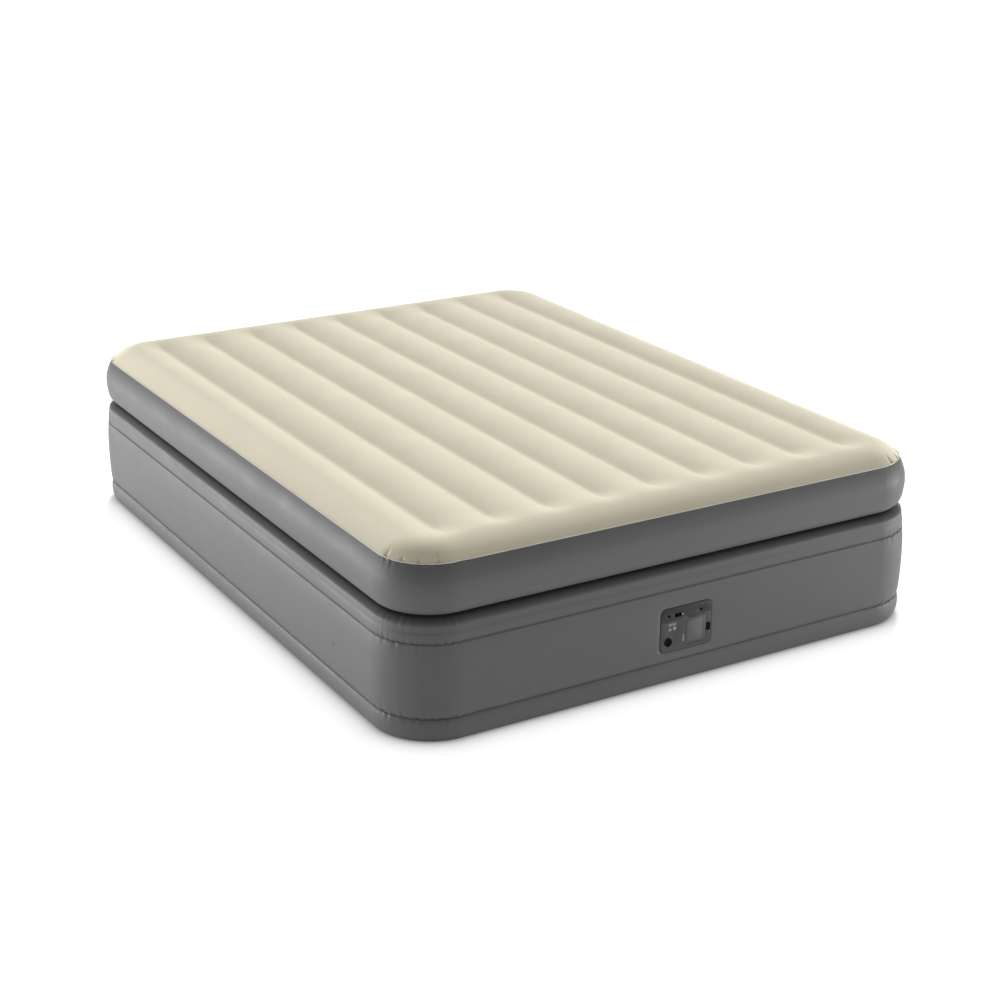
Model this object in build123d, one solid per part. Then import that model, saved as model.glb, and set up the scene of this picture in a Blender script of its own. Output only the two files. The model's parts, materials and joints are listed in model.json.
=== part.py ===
from build123d import *
import os

# Raised double-chamber airbed with a built-in electric pump, in millimetres.
# X runs across the bed, -Y is the foot end with the pump, +Z is up, and the
# origin is the middle of the underside, on the floor.

# Driving dimensions of the inflated bed.
WIDTH = 1520
LENGTH = 1990
HEIGHT = 460
CORNER = 158
SKIN = 2.0
SEAM_Z = 426
WAIST_Z = 300
UPPER_BELT_Z = 243
LOWER_BELT_Z = 59

# How far each line of the side wall stands in from the widest outline.
SEAM_INSET = 26
WAIST_INSET = 33
UPPER_BELT_INSET = 4.5
LOWER_BELT_INSET = 4.5
SOLE_INSET = 19

# Ribs of the sleeping surface: grooves run from head to foot.
GROOVES = 9
GROOVE_PITCH = 146
GROOVE_DEPTH = 14
GROOVE_WIDTH = 62
GROOVE_HALF_LENGTH = 865
CROWN = 28

# Inner tension sheets and belts.
SHEET = 1.5
BELT = 1.6
BELT_DEPTH = 80
LOWER_BEAMS = 5
LOWER_BEAM_PITCH = 240
BEAM_CLEAR = 0.8
UPPER_BEAM_LENGTH = 1640
LOWER_BEAM_LENGTH = 1640
LOWER_BEAM_SHIFT = 60

# Pump panel on the foot wall: its middle, its size and its depth.
PANEL_X = 2.5
PANEL_Z = 141
PANEL_WIDTH = 146
PANEL_HEIGHT = 112
PANEL_CORNER = 16
FRONT_Y = -LENGTH / 2 + 1.5
PLATE = 3
GASKET = 1.5
COLLAR = 3
COLLAR_DEPTH = 34
TUB_WALL = 2
TUB_MARGIN = 3
TUB_DEPTH = 134
FIT = 0.4

# Places on the panel are offsets from its middle, across (u) and up (w).
SCREWS = ((-51, 37), (42, 37))
SCREW_HEAD = 3.2
SCREW_SHANK = 1.5
SCREW_LENGTH = 12
SCREW_SLOT = 0.8
SCREW_SUNK = 0.4
WELL = 3.8
BOSS_WALL = 1.8
SCREW_SEAT = 1
SCREW_FIT = 0.1
BUTTON_U, BUTTON_W = -51, -30
BUTTON_RADIUS = 11
BUTTON_TRAVEL = 2.5
BUTTON_PROUD = 0.6
BUTTON_CAP = 4
BUTTON_STEM = 3
BUTTON_REACH = 18
BUTTON_FLANGE = 1.2
BUTTON_LIP = 1.6
SWITCH_WIDTH, SWITCH_HEIGHT, SWITCH_DEPTH = 18, 12, 12
TAB_WIDTH, TAB_HEIGHT, TAB_LENGTH, TAB_SPACING = 2, 6, 6, 10
SELECTOR_U, SELECTOR_W = -24, 36
SELECTOR_TRAVEL = 6
KNOB_WIDTH, KNOB_HEIGHT, KNOB_PROUD = 7, 9, 0.8
KNOB_RIB_PITCH, KNOB_RIB_GAP, KNOB_RIB_DEPTH = 2, 0.8, 0.5
SHUTTER_WIDTH, SHUTTER_HEIGHT, SHUTTER = 32, 16, 2
SHUTTER_STEM_WIDTH, SHUTTER_STEM_HEIGHT, SHUTTER_STEM = 4, 10, 10
RAIL_LENGTH, RAIL_HEIGHT, RAIL_DEPTH, RAIL_CLEAR = 40, 2, 5, 0.3
LID_LEFT, LID_RIGHT = 1, 58.5
LID_BOTTOM, LID_TOP = -46, 20
LID = 2.5
HINGE_BARREL = 2.0
HINGE_PIN = 0.95
PIN_TAIL = 4
PIN_FIT = 0.05
NOTCH_WIDTH, NOTCH_HEIGHT, NOTCH_W = 6.6, 13, -12
TRAY_DEPTH = 52
GLAND_RADIUS = 6
GLAND_BORE = 3.5
GLAND_INSIDE, GLAND_OUTSIDE = 8, 6
TERMINAL_LEFT, TERMINAL_BOTTOM, TERMINAL_START = 14, -30, 14
TERMINAL_WIDTH, TERMINAL_HEIGHT, TERMINAL_DEPTH = 30, 18, 12
TERMINALS = 3
TERMINAL_PITCH, TERMINAL_HOLE, TERMINAL_HOLE_DEPTH = 9, 2.4, 6

# Motor, fan and outlet valve share one axis, behind the left half of the panel.
MOTOR_U, MOTOR_W = -35, -8
MOTOR_RADIUS = 22
MOTOR_FRONT, MOTOR_LENGTH = 44, 52
CAN = 1.5
MAGNET = 3.5
MAGNET_GAP = 14
MAGNET_FRONT, MAGNET_BACK = 6, 8
END_CAP = 3
BEARING_RADIUS, BEARING_LENGTH = 4, 4
CORE_CLEAR = 1.5
CORE_FRONT, CORE_BACK = 9, 10
CORE_SLOTS, CORE_SLOT_WIDTH, CORE_SLOT_DEPTH = 6, 2.4, 7
FAN_RADIUS = 27
FAN_GAP = 1.5
FAN_LENGTH = 18
FAN_WALL = 2
FAN_INLET = 9
FAN_MOTOR_GAP = 6
FAN_PLATE = 1.6
FAN_HUB = 5
FAN_CLEAR = 3
BLADE_LENGTH, BLADE, BLADE_LEAN = 19, 1.4, -22
BLADE_U, BLADE_W = 13, 4
SHAFT = 1.6
SHAFT_FIT = 0.05
BLADES = 9
PORT_RADIUS = 17
DISC_RADIUS = 21
DISC = 2
SEAL = 2
VALVE_TRAVEL = 6
VALVE_STEM = 2
STEM_FIT = 0.06
CAGE_LENGTH = 24
CAGE_WALL = 2.5
CAGE_CLEAR = 1.5
CAGE_END = 2
CAGE_WINDOWS, CAGE_WINDOW_WIDTH = 4, 18

# Depths behind the panel's front that follow from the above.
MOTOR_BACK = MOTOR_FRONT + MOTOR_LENGTH
FAN_FRONT = MOTOR_BACK + FAN_MOTOR_GAP
FAN_BACK = FAN_FRONT + FAN_LENGTH
VALVE_FRONT = TUB_DEPTH + SEAL
CAGE_BACK = TUB_DEPTH + CAGE_LENGTH

# Coil springs: wire radius, coil radius and pitch.
BUTTON_COIL = (0.4, 4.6, 2.4)
VALVE_COIL = (0.5, 6.0, 2.6)

# How far a cutting block passes the face it cuts.
CUT = 1

PANEL_PLANE = Plane(origin=(PANEL_X, FRONT_Y, PANEL_Z), x_dir=(1, 0, 0), z_dir=(0, -1, 0))


def save(shape, node):
    """Writes one sub-part to its own file."""
    shape.label = node
    export_step(shape, f"parts/{node}.step")


# ---- Shapes that follow the outline of the bed ----

def outline_path():
    """The widest outline, a rounded rectangle on the floor that starts at the right side's middle."""
    half_x, half_y = WIDTH / 2, LENGTH / 2
    near_x, near_y = half_x - CORNER, half_y - CORNER
    bow = CORNER * (1 - 2 ** -0.5)
    corners = [
        ((half_x, near_y), (half_x - bow, half_y - bow), (near_x, half_y)),
        ((-near_x, half_y), (bow - half_x, half_y - bow), (-half_x, near_y)),
        ((-half_x, -near_y), (bow - half_x, bow - half_y), (-near_x, -half_y)),
        ((near_x, -half_y), (half_x - bow, bow - half_y), (half_x, -near_y)),
    ]
    edges = []
    here = (half_x, 0)
    for first, middle, last in corners:
        edges.append(Line(here, first))
        edges.append(ThreePointArc(first, middle, last))
        here = last
    edges.append(Line(here, (half_x, 0)))
    return Wire([edge.edge() for edge in edges])


def wall_point(inset, z):
    """A point of the side wall's section, inset from the widest outline."""
    return (WIDTH / 2 - inset, z)


def ring(section):
    """Carries a section drawn beside the right side's middle round the whole outline."""
    return sweep(Plane.XZ * section, path=outline_path())


def bulged_wall(*spans):
    """A skin whose section is arcs, each given as (inset, z) for its start, middle and end."""
    arcs = []
    for start, middle, end in spans:
        arcs.append(ThreePointArc(wall_point(*start), wall_point(*middle), wall_point(*end)).edge())
    strip = offset(Wire(arcs), amount=SKIN, side=Side.RIGHT, closed=True)
    return ring(make_face(strip.edges()))


def flat_belt(inset, depth, z, thickness):
    """A flat ring that stands in from the wall."""
    middle = WIDTH / 2 - inset - depth / 2
    return ring(Pos(middle, z) * Rectangle(depth, thickness))


def floor_plan(inset):
    """The outline, stood in by inset."""
    return RectangleRounded(WIDTH - 2 * inset, LENGTH - 2 * inset, CORNER - inset)


def groove_places():
    """The X of each groove, symmetric about the middle."""
    return [(number - (GROOVES - 1) / 2) * GROOVE_PITCH for number in range(GROOVES)]


# ---- Air chambers ----

def ribbed_pad(shrink):
    """The solid form of the crowned top, shrunk by the skin for its inner face."""
    height = HEIGHT - SEAM_Z - shrink
    pad = Pos(0, 0, SEAM_Z) * extrude(floor_plan(SEAM_INSET + shrink), height)
    pad = fillet(pad.faces().sort_by(Axis.Z)[-1].edges(), CROWN - shrink)
    radius = (GROOVE_WIDTH ** 2 / 4 + GROOVE_DEPTH ** 2) / (2 * GROOVE_DEPTH)
    axis_z = HEIGHT - GROOVE_DEPTH + radius
    cutter_radius = radius + shrink
    for x in groove_places():
        tunnel = Pos(x, 0, axis_z) * Rot(90, 0, 0) * Cylinder(cutter_radius, 2 * GROOVE_HALF_LENGTH)
        ends = [Pos(x, y, axis_z) * Sphere(cutter_radius) for y in (-GROOVE_HALF_LENGTH, GROOVE_HALF_LENGTH)]
        pad = pad - tunnel - ends[0] - ends[1]
    return pad


def top_sheet():
    return ribbed_pad(0) - ribbed_pad(SKIN)


def top_weld_bead():
    return flat_belt(SEAM_INSET - 1, 6, SEAM_Z - BELT / 2, BELT)


def upper_side_wall():
    top = SEAM_Z - BELT
    return bulged_wall(
        ((SEAM_INSET, top), (8, 370), (16, 322)),
        ((16, 322), (22, 308), (WAIST_INSET, WAIST_Z + SHEET)),
    )


def middle_sheet():
    return Pos(0, 0, WAIST_Z - SHEET / 2) * extrude(floor_plan(WAIST_INSET - 1), SHEET)


def shoulder_wall():
    return bulged_wall(
        ((WAIST_INSET, WAIST_Z - SHEET), (15, 294), (8, 284)),
        ((8, 284), (4, 264), (UPPER_BELT_INSET, UPPER_BELT_Z + BELT / 2)),
    )


def upper_belt():
    return flat_belt(UPPER_BELT_INSET - 0.5, BELT_DEPTH, UPPER_BELT_Z, BELT)


def main_side_wall():
    """The tall wall of the lower chamber, cut out for the pump."""
    middle_z = (UPPER_BELT_Z + LOWER_BELT_Z) / 2
    wall = bulged_wall((
        (UPPER_BELT_INSET, UPPER_BELT_Z - BELT / 2),
        (0, middle_z),
        (LOWER_BELT_INSET, LOWER_BELT_Z + BELT / 2),
    ))
    border = COLLAR + CUT
    return wall - panel_block(PANEL_WIDTH + 2 * border, PANEL_HEIGHT + 2 * border,
                              PANEL_CORNER + border, -COLLAR_DEPTH, COLLAR_DEPTH)


def lower_belt():
    return flat_belt(LOWER_BELT_INSET - 0.5, BELT_DEPTH, LOWER_BELT_Z, BELT)


def bottom_band():
    return bulged_wall(
        ((LOWER_BELT_INSET, LOWER_BELT_Z - BELT / 2), (1.5, 36), (4, 17)),
        ((4, 17), (8, 5), (SOLE_INSET, 0)),
    )


def bottom_sheet():
    return extrude(floor_plan(SOLE_INSET + SKIN), SKIN)


def upper_beam(x):
    """The upright sheet under one groove, which holds it down."""
    low = WAIST_Z + SHEET / 2
    high = HEIGHT - GROOVE_DEPTH - SKIN - BEAM_CLEAR
    return Pos(x, 0, (low + high) / 2) * Box(SHEET, UPPER_BEAM_LENGTH, high - low)


def lower_beam(x):
    """An upright sheet of the lower chamber, clear of the pump."""
    low = SKIN
    high = WAIST_Z - SHEET / 2
    return Pos(x, LOWER_BEAM_SHIFT, (low + high) / 2) * Box(SHEET, LOWER_BEAM_LENGTH, high - low)


# ---- Pump panel and housing ----

def panel_block(width, height, corner, start, end, u=0, w=0):
    """A rounded block on the panel, from start to end behind its front face."""
    outline = Pos(u, w) * RectangleRounded(width, height, corner)
    return PANEL_PLANE * Pos(0, 0, -end) * extrude(outline, end - start)


def panel_box(left, right, bottom, top, start, end):
    """A plain block between four offsets on the panel, from start to end behind its front face."""
    middle = Pos((left + right) / 2, (bottom + top) / 2, -(start + end) / 2)
    return PANEL_PLANE * middle * Box(right - left, top - bottom, end - start)


def panel_rod(u, w, radius, start, end):
    """A round block square to the panel, from start to end behind its front face."""
    return PANEL_PLANE * Pos(u, w, -(start + end) / 2) * Cylinder(radius, end - start)


def weld_collar():
    """The soft frame that joins the pump to the wall."""
    outer = panel_block(PANEL_WIDTH + 2 * COLLAR, PANEL_HEIGHT + 2 * COLLAR,
                        PANEL_CORNER + COLLAR, SKIN, COLLAR_DEPTH)
    inner = panel_block(PANEL_WIDTH + FIT, PANEL_HEIGHT + FIT, PANEL_CORNER, 0, COLLAR_DEPTH + CUT)
    return outer - inner


def notch_block(start, end):
    """The finger notch beside the lid's free edge."""
    left = LID_RIGHT - FIT
    return panel_box(left, LID_RIGHT + NOTCH_WIDTH,
                     NOTCH_W - NOTCH_HEIGHT / 2, NOTCH_W + NOTCH_HEIGHT / 2, start, end)


def hinge_rod(radius, low, high):
    """A rod on the lid's hinge line, between two heights on the panel."""
    rod = Rot(90, 0, 0) * Cylinder(radius, high - low)
    return PANEL_PLANE * Pos(LID_LEFT, (low + high) / 2, -HINGE_BARREL) * rod


def face_plate():
    plate = panel_block(PANEL_WIDTH, PANEL_HEIGHT, PANEL_CORNER, 0, PLATE)
    plate -= panel_box(LID_LEFT - HINGE_BARREL - FIT, LID_RIGHT + FIT,
                       LID_BOTTOM - FIT, LID_TOP + FIT, -CUT, PLATE + CUT)
    plate -= notch_block(-CUT, PLATE + CUT)
    plate -= lid_hinge_pin()
    plate -= panel_rod(BUTTON_U, BUTTON_W, BUTTON_RADIUS + FIT, -CUT, PLATE + CUT)
    slot_width = KNOB_WIDTH + 2 * SELECTOR_TRAVEL + 2 * FIT
    plate -= selector_box(slot_width, KNOB_HEIGHT + 2 * FIT, -CUT, PLATE + CUT)
    for u, w in SCREWS:
        plate -= panel_rod(u, w, WELL, -CUT, PLATE - SCREW_SEAT)
        plate -= panel_rod(u, w, SCREW_SHANK + SCREW_FIT, -CUT, PLATE + CUT)
    return plate


def tub_space(start, end, clear=0):
    """The room inside the tub, from start to end behind the panel's front, less a clearance."""
    margin = TUB_MARGIN + TUB_WALL + clear
    return panel_block(PANEL_WIDTH - 2 * margin, PANEL_HEIGHT - 2 * margin, PANEL_CORNER - margin, start, end)


def face_gasket():
    """The seal between the face plate and the rim of the tub."""
    outer = panel_block(PANEL_WIDTH, PANEL_HEIGHT, PANEL_CORNER, PLATE, PLATE + GASKET)
    return outer - tub_space(PLATE - CUT, PLATE + GASKET + CUT)


def pump_tub():
    """The open box that holds every pump piece inside the lower chamber."""
    start = PLATE + GASKET
    rim = panel_block(PANEL_WIDTH, PANEL_HEIGHT, PANEL_CORNER, start, start + TUB_WALL)
    margin = 2 * TUB_MARGIN
    outer = panel_block(PANEL_WIDTH - margin, PANEL_HEIGHT - margin, PANEL_CORNER - TUB_MARGIN,
                        start, TUB_DEPTH)
    inner = tub_space(start - CUT, TUB_DEPTH - TUB_WALL)
    port = motor_rod(PORT_RADIUS, TUB_DEPTH - TUB_WALL - CUT, TUB_DEPTH + CUT)
    return rim + outer - inner - port


def panel_screws():
    """The screws that hold the face plate, as one group of separate solids."""
    screws = []
    for u, w in SCREWS:
        head = panel_rod(u, w, SCREW_HEAD, SCREW_SUNK, PLATE - SCREW_SEAT)
        shank = panel_rod(u, w, SCREW_SHANK, PLATE - SCREW_SEAT, SCREW_LENGTH)
        slot = panel_box(u - SCREW_HEAD, u + SCREW_HEAD, w - SCREW_SLOT / 2, w + SCREW_SLOT / 2,
                         0, SCREW_SUNK + SCREW_SLOT)
        screws.append((head + shank - slot).solid())
    return Compound(children=screws)


def screw_bosses():
    """The posts behind the face plate that the screws bite into."""
    posts = []
    for u, w in SCREWS:
        post = panel_rod(u, w, SCREW_SHANK + BOSS_WALL, PLATE, SCREW_LENGTH + 2 * BOSS_WALL)
        posts.append((post - panel_rod(u, w, SCREW_SHANK, PLATE - CUT, SCREW_LENGTH)).solid())
    return Compound(children=posts)


# ---- Cord store ----

def cord_tray():
    """The open box behind the lid, with the finger notch's room beside it."""
    left = LID_LEFT - HINGE_BARREL - FIT - TUB_WALL
    right = LID_RIGHT + NOTCH_WIDTH + TUB_WALL
    bottom, top = LID_BOTTOM - FIT - TUB_WALL, LID_TOP + FIT + TUB_WALL
    outer = panel_box(left, right, bottom, top, PLATE, TRAY_DEPTH) & tub_space(0, TRAY_DEPTH, FIT / 2)
    inner = panel_box(left + TUB_WALL, right - TUB_WALL, bottom + TUB_WALL, top - TUB_WALL,
                      PLATE - CUT, TRAY_DEPTH - TUB_WALL)
    return outer - inner - gland_rod(GLAND_RADIUS + SHAFT_FIT, TRAY_DEPTH - TUB_WALL - CUT, TRAY_DEPTH + CUT)


def gland_rod(radius, start, end):
    """A round block through the middle of the tray's back wall."""
    return panel_rod((LID_LEFT + LID_RIGHT) / 2, (LID_BOTTOM + LID_TOP) / 2, radius, start, end)


def cord_gland():
    """The sleeve that the mains lead comes through."""
    start, end = TRAY_DEPTH - GLAND_INSIDE, TRAY_DEPTH + GLAND_OUTSIDE
    return gland_rod(GLAND_RADIUS, start, end) - gland_rod(GLAND_BORE, start - CUT, end + CUT)


def cord_store_lid():
    """The lid with its hinge barrel down the left edge."""
    plate = panel_box(LID_LEFT, LID_RIGHT, LID_BOTTOM + FIT, LID_TOP - FIT, 0, LID)
    barrel = hinge_rod(HINGE_BARREL, LID_BOTTOM + FIT, LID_TOP - FIT)
    bore = hinge_rod(HINGE_PIN + PIN_FIT, LID_BOTTOM, LID_TOP)
    return plate + barrel - bore


def lid_hinge_pin():
    return hinge_rod(HINGE_PIN, LID_BOTTOM - PIN_TAIL, LID_TOP + PIN_TAIL)


# ---- Controls ----

def power_button():
    """The round cap with the flange that keeps it in, and its stem."""
    cap = panel_rod(BUTTON_U, BUTTON_W, BUTTON_RADIUS, -BUTTON_PROUD, BUTTON_CAP)
    cap = fillet(cap.edges().filter_by(GeomType.CIRCLE).sort_by(Axis.Y)[0], BUTTON_PROUD - CUT / 10)
    back = PLATE + FIT
    flange = panel_rod(BUTTON_U, BUTTON_W, BUTTON_RADIUS + BUTTON_LIP, back, back + BUTTON_FLANGE)
    stem = panel_rod(BUTTON_U, BUTTON_W, BUTTON_STEM, BUTTON_CAP, BUTTON_REACH)
    return cap + flange + stem


def power_switch():
    """The switch that the button's stem presses, with its two tabs."""
    start = BUTTON_REACH + BUTTON_TRAVEL + FIT
    back = start + SWITCH_DEPTH
    switch = panel_box(BUTTON_U - SWITCH_WIDTH / 2, BUTTON_U + SWITCH_WIDTH / 2,
                       BUTTON_W - SWITCH_HEIGHT / 2, BUTTON_W + SWITCH_HEIGHT / 2, start, back)
    for side in (-1, 1):
        u = BUTTON_U + side * TAB_SPACING / 2
        switch += panel_box(u - TAB_WIDTH / 2, u + TAB_WIDTH / 2,
                            BUTTON_W - TAB_HEIGHT / 2, BUTTON_W + TAB_HEIGHT / 2, back, back + TAB_LENGTH)
    return switch


def coil_spring(u, w, start, end, sizes):
    """A coil spring square to the panel, between two depths."""
    wire_radius, coil_radius, pitch = sizes
    coil = Helix(pitch=pitch, height=end - start - 2 * wire_radius, radius=coil_radius)
    wire = sweep(Plane(coil @ 0, z_dir=coil % 0) * Circle(wire_radius), path=coil, is_frenet=True)
    return PANEL_PLANE * Pos(u, w, wire_radius - end) * wire


def button_spring():
    """The spring round the button's stem, at its pressed length."""
    start = PLATE + FIT + BUTTON_FLANGE + BUTTON_TRAVEL + FIT
    return coil_spring(BUTTON_U, BUTTON_W, start, BUTTON_REACH, BUTTON_COIL)


def selector_box(width, height, start, end, across=0, up=0):
    """A plain block about the selector's middle, shifted across and up."""
    u, w = SELECTOR_U + across, SELECTOR_W + up
    return panel_box(u - width / 2, u + width / 2, w - height / 2, w + height / 2, start, end)


def selector_knob():
    """The ribbed grip of the selector."""
    grip = selector_box(KNOB_WIDTH, KNOB_HEIGHT, -KNOB_PROUD, PLATE + FIT)
    for step in (-1, 0, 1):
        grip -= selector_box(KNOB_RIB_GAP, 2 * KNOB_HEIGHT, -KNOB_PROUD - CUT, KNOB_RIB_DEPTH - KNOB_PROUD,
                             across=step * KNOB_RIB_PITCH)
    return grip


def diverter_shutter():
    """The sliding plate behind the selector that opens the fan to one side or the other."""
    start = PLATE + FIT
    plate = selector_box(SHUTTER_WIDTH, SHUTTER_HEIGHT, start, start + SHUTTER)
    back = start + SHUTTER
    stem = selector_box(SHUTTER_STEM_WIDTH, SHUTTER_STEM_HEIGHT, back, back + SHUTTER_STEM)
    return plate + stem


def diverter_guide():
    """The two rails that the shutter slides between."""
    offset_up = SHUTTER_HEIGHT / 2 + RAIL_CLEAR + RAIL_HEIGHT / 2
    rails = []
    for side in (-1, 1):
        rail = selector_box(RAIL_LENGTH, RAIL_HEIGHT, PLATE, PLATE + RAIL_DEPTH, up=side * offset_up)
        rails.append(rail.solid())
    return Compound(children=rails)


# ---- Motor, fan and outlet valve ----

def motor_rod(radius, start, end):
    """A round block on the motor's axis."""
    return panel_rod(MOTOR_U, MOTOR_W, radius, start, end)


def around_motor(shape, start, end):
    """Places a shape drawn about the motor's axis halfway between two depths."""
    return PANEL_PLANE * Pos(MOTOR_U, MOTOR_W, -(start + end) / 2) * shape


def motor_can():
    """The drawn can, open at the front, with the rear bearing's hole."""
    shell = motor_rod(MOTOR_RADIUS, MOTOR_FRONT, MOTOR_BACK)
    shell -= motor_rod(MOTOR_RADIUS - CAN, MOTOR_FRONT - CUT, MOTOR_BACK - CAN)
    return shell - motor_rod(BEARING_RADIUS, MOTOR_FRONT, MOTOR_BACK + CUT)


def motor_magnets():
    """The two curved magnets that line the can."""
    outer = MOTOR_RADIUS - CAN
    shell = motor_rod(outer, MOTOR_FRONT + MAGNET_FRONT, MOTOR_BACK - MAGNET_BACK)
    shell -= motor_rod(outer - MAGNET, MOTOR_FRONT, MOTOR_BACK)
    gap = Box(MAGNET_GAP, 3 * MOTOR_RADIUS, MOTOR_LENGTH)
    return shell - around_motor(gap, MOTOR_FRONT, MOTOR_BACK)


def motor_end_cap():
    """The cap that closes the can and holds the front bearing."""
    cap = motor_rod(MOTOR_RADIUS - CAN - SHAFT_FIT, MOTOR_FRONT, MOTOR_FRONT + END_CAP)
    return cap - motor_rod(BEARING_RADIUS, MOTOR_FRONT - CUT, MOTOR_FRONT + END_CAP + CUT)


def bearing(start):
    """A plain bush that the shaft runs in."""
    end = start + BEARING_LENGTH
    return motor_rod(BEARING_RADIUS, start, end) - motor_rod(SHAFT + SHAFT_FIT, start - CUT, end + CUT)


def motor_armature():
    """The core on the shaft, with its winding slots."""
    radius = MOTOR_RADIUS - CAN - MAGNET - CORE_CLEAR
    core = motor_rod(radius, MOTOR_FRONT + CORE_FRONT, MOTOR_BACK - CORE_BACK)
    core -= motor_rod(SHAFT, MOTOR_FRONT, MOTOR_BACK)
    slot = Pos(radius - CORE_SLOT_DEPTH / 3, 0, 0) * Box(CORE_SLOT_DEPTH, CORE_SLOT_WIDTH, MOTOR_LENGTH)
    for number in range(CORE_SLOTS):
        core -= around_motor(Rot(0, 0, 360 / CORE_SLOTS * number) * slot, MOTOR_FRONT, MOTOR_BACK)
    return core


def motor_shaft():
    return motor_rod(SHAFT, MOTOR_FRONT - END_CAP, FAN_BACK - FAN_CLEAR)


def impeller():
    """A backplate and straight blades that lean back, round a hub."""
    start, end = FAN_FRONT + FAN_GAP, FAN_BACK - FAN_CLEAR
    wheel = motor_rod(FAN_HUB, start, end)
    wheel += motor_rod(FAN_RADIUS - FAN_CLEAR, start, start + FAN_PLATE)
    blade = Pos(BLADE_U, BLADE_W, 0) * Rot(0, 0, BLADE_LEAN) * Box(BLADE_LENGTH, BLADE, end - start)
    for number in range(BLADES):
        wheel += around_motor(Rot(0, 0, 360 / BLADES * number) * blade, start, end)
    return wheel - motor_rod(SHAFT, FAN_FRONT, FAN_BACK)


def fan_housing():
    """The round casing of the fan, open at its inlet and its outlet."""
    outer = motor_rod(FAN_RADIUS + FAN_WALL, FAN_FRONT - FAN_WALL, FAN_BACK)
    inner = motor_rod(FAN_RADIUS, FAN_FRONT, FAN_BACK - FAN_WALL)
    inlet = motor_rod(FAN_INLET, FAN_FRONT - FAN_WALL - CUT, FAN_FRONT + CUT)
    outlet = motor_rod(PORT_RADIUS, FAN_BACK - FAN_WALL - CUT, FAN_BACK + CUT)
    return outer - inner - inlet - outlet


def outlet_duct():
    """The short pipe from the fan to the port in the tub."""
    duct = motor_rod(PORT_RADIUS + FAN_WALL, FAN_BACK, TUB_DEPTH - TUB_WALL)
    return duct - motor_rod(PORT_RADIUS, FAN_BACK - CUT, TUB_DEPTH)


def valve_seal():
    """The rubber ring that the outlet valve shuts against."""
    ring_block = motor_rod(DISC_RADIUS, TUB_DEPTH, VALVE_FRONT)
    return ring_block - motor_rod(PORT_RADIUS, TUB_DEPTH - CUT, VALVE_FRONT + CUT)


def outlet_valve_disc():
    """The disc that shuts the port, on the stem that guides it."""
    disc = motor_rod(DISC_RADIUS, VALVE_FRONT, VALVE_FRONT + DISC)
    return disc + motor_rod(VALVE_STEM, VALVE_FRONT + DISC, CAGE_BACK + CUT)


def valve_cage():
    """The open cage that holds the valve's stem."""
    inner = DISC_RADIUS + CAGE_CLEAR
    cage = motor_rod(inner + CAGE_WALL, TUB_DEPTH, CAGE_BACK)
    cage -= motor_rod(inner, TUB_DEPTH - CUT, CAGE_BACK - CAGE_END)
    cage -= motor_rod(VALVE_STEM + STEM_FIT, TUB_DEPTH, CAGE_BACK + CUT)
    window = Pos(inner, 0, 0) * Box(4 * CAGE_WALL, CAGE_WINDOW_WIDTH, CAGE_LENGTH / 2)
    for number in range(CAGE_WINDOWS):
        turn = 360 / CAGE_WINDOWS * (number + 0.5)
        cage -= around_motor(Rot(0, 0, turn) * window, TUB_DEPTH, CAGE_BACK)
    return cage


def valve_spring():
    """The spring between the cage and the disc, at its open length."""
    start = VALVE_FRONT + DISC + VALVE_TRAVEL + FIT
    return coil_spring(MOTOR_U, MOTOR_W, start, CAGE_BACK - CAGE_END, VALVE_COIL)


def terminal_block():
    """Where the mains lead meets the motor's wires, behind the tray."""
    left, right = TERMINAL_LEFT, TERMINAL_LEFT + TERMINAL_WIDTH
    bottom, top = TERMINAL_BOTTOM, TERMINAL_BOTTOM + TERMINAL_HEIGHT
    start = TRAY_DEPTH + TERMINAL_START
    block = panel_box(left, right, bottom, top, start, start + TERMINAL_DEPTH)
    for number in range(TERMINALS):
        u = (left + right) / 2 + (number - (TERMINALS - 1) / 2) * TERMINAL_PITCH
        block -= panel_rod(u, (bottom + top) / 2, TERMINAL_HOLE, start - CUT, start + TERMINAL_HOLE_DEPTH)
    return block


def main():
    os.makedirs("parts", exist_ok=True)
    for maker in (
        top_sheet, top_weld_bead, upper_side_wall, middle_sheet, shoulder_wall, upper_belt, main_side_wall,
        lower_belt, bottom_band, bottom_sheet, weld_collar, face_plate, face_gasket, pump_tub, panel_screws,
        screw_bosses, cord_tray, cord_gland, cord_store_lid, lid_hinge_pin, power_button, power_switch,
        button_spring, selector_knob, diverter_shutter, diverter_guide, motor_can, motor_magnets,
        motor_end_cap, motor_armature, motor_shaft, impeller, fan_housing, outlet_duct, valve_seal,
        outlet_valve_disc, valve_cage, valve_spring, terminal_block,
    ):
        save(maker(), maker.__name__)
    save(bearing(MOTOR_FRONT), "front_bearing")
    save(bearing(MOTOR_BACK - CAN), "rear_bearing")
    for number, x in enumerate(groove_places(), 1):
        save(upper_beam(x), f"upper_beam_{number}")
    for number in range(LOWER_BEAMS):
        save(lower_beam((number - (LOWER_BEAMS - 1) / 2) * LOWER_BEAM_PITCH), f"lower_beam_{number + 1}")


main()
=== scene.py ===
"""Raised airbed with a ribbed flocked top, bulged side walls and a pump in its foot wall."""

import json
import math
import random

import bmesh
import bpy
import numpy as np
from mathutils import Matrix, Vector


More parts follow.
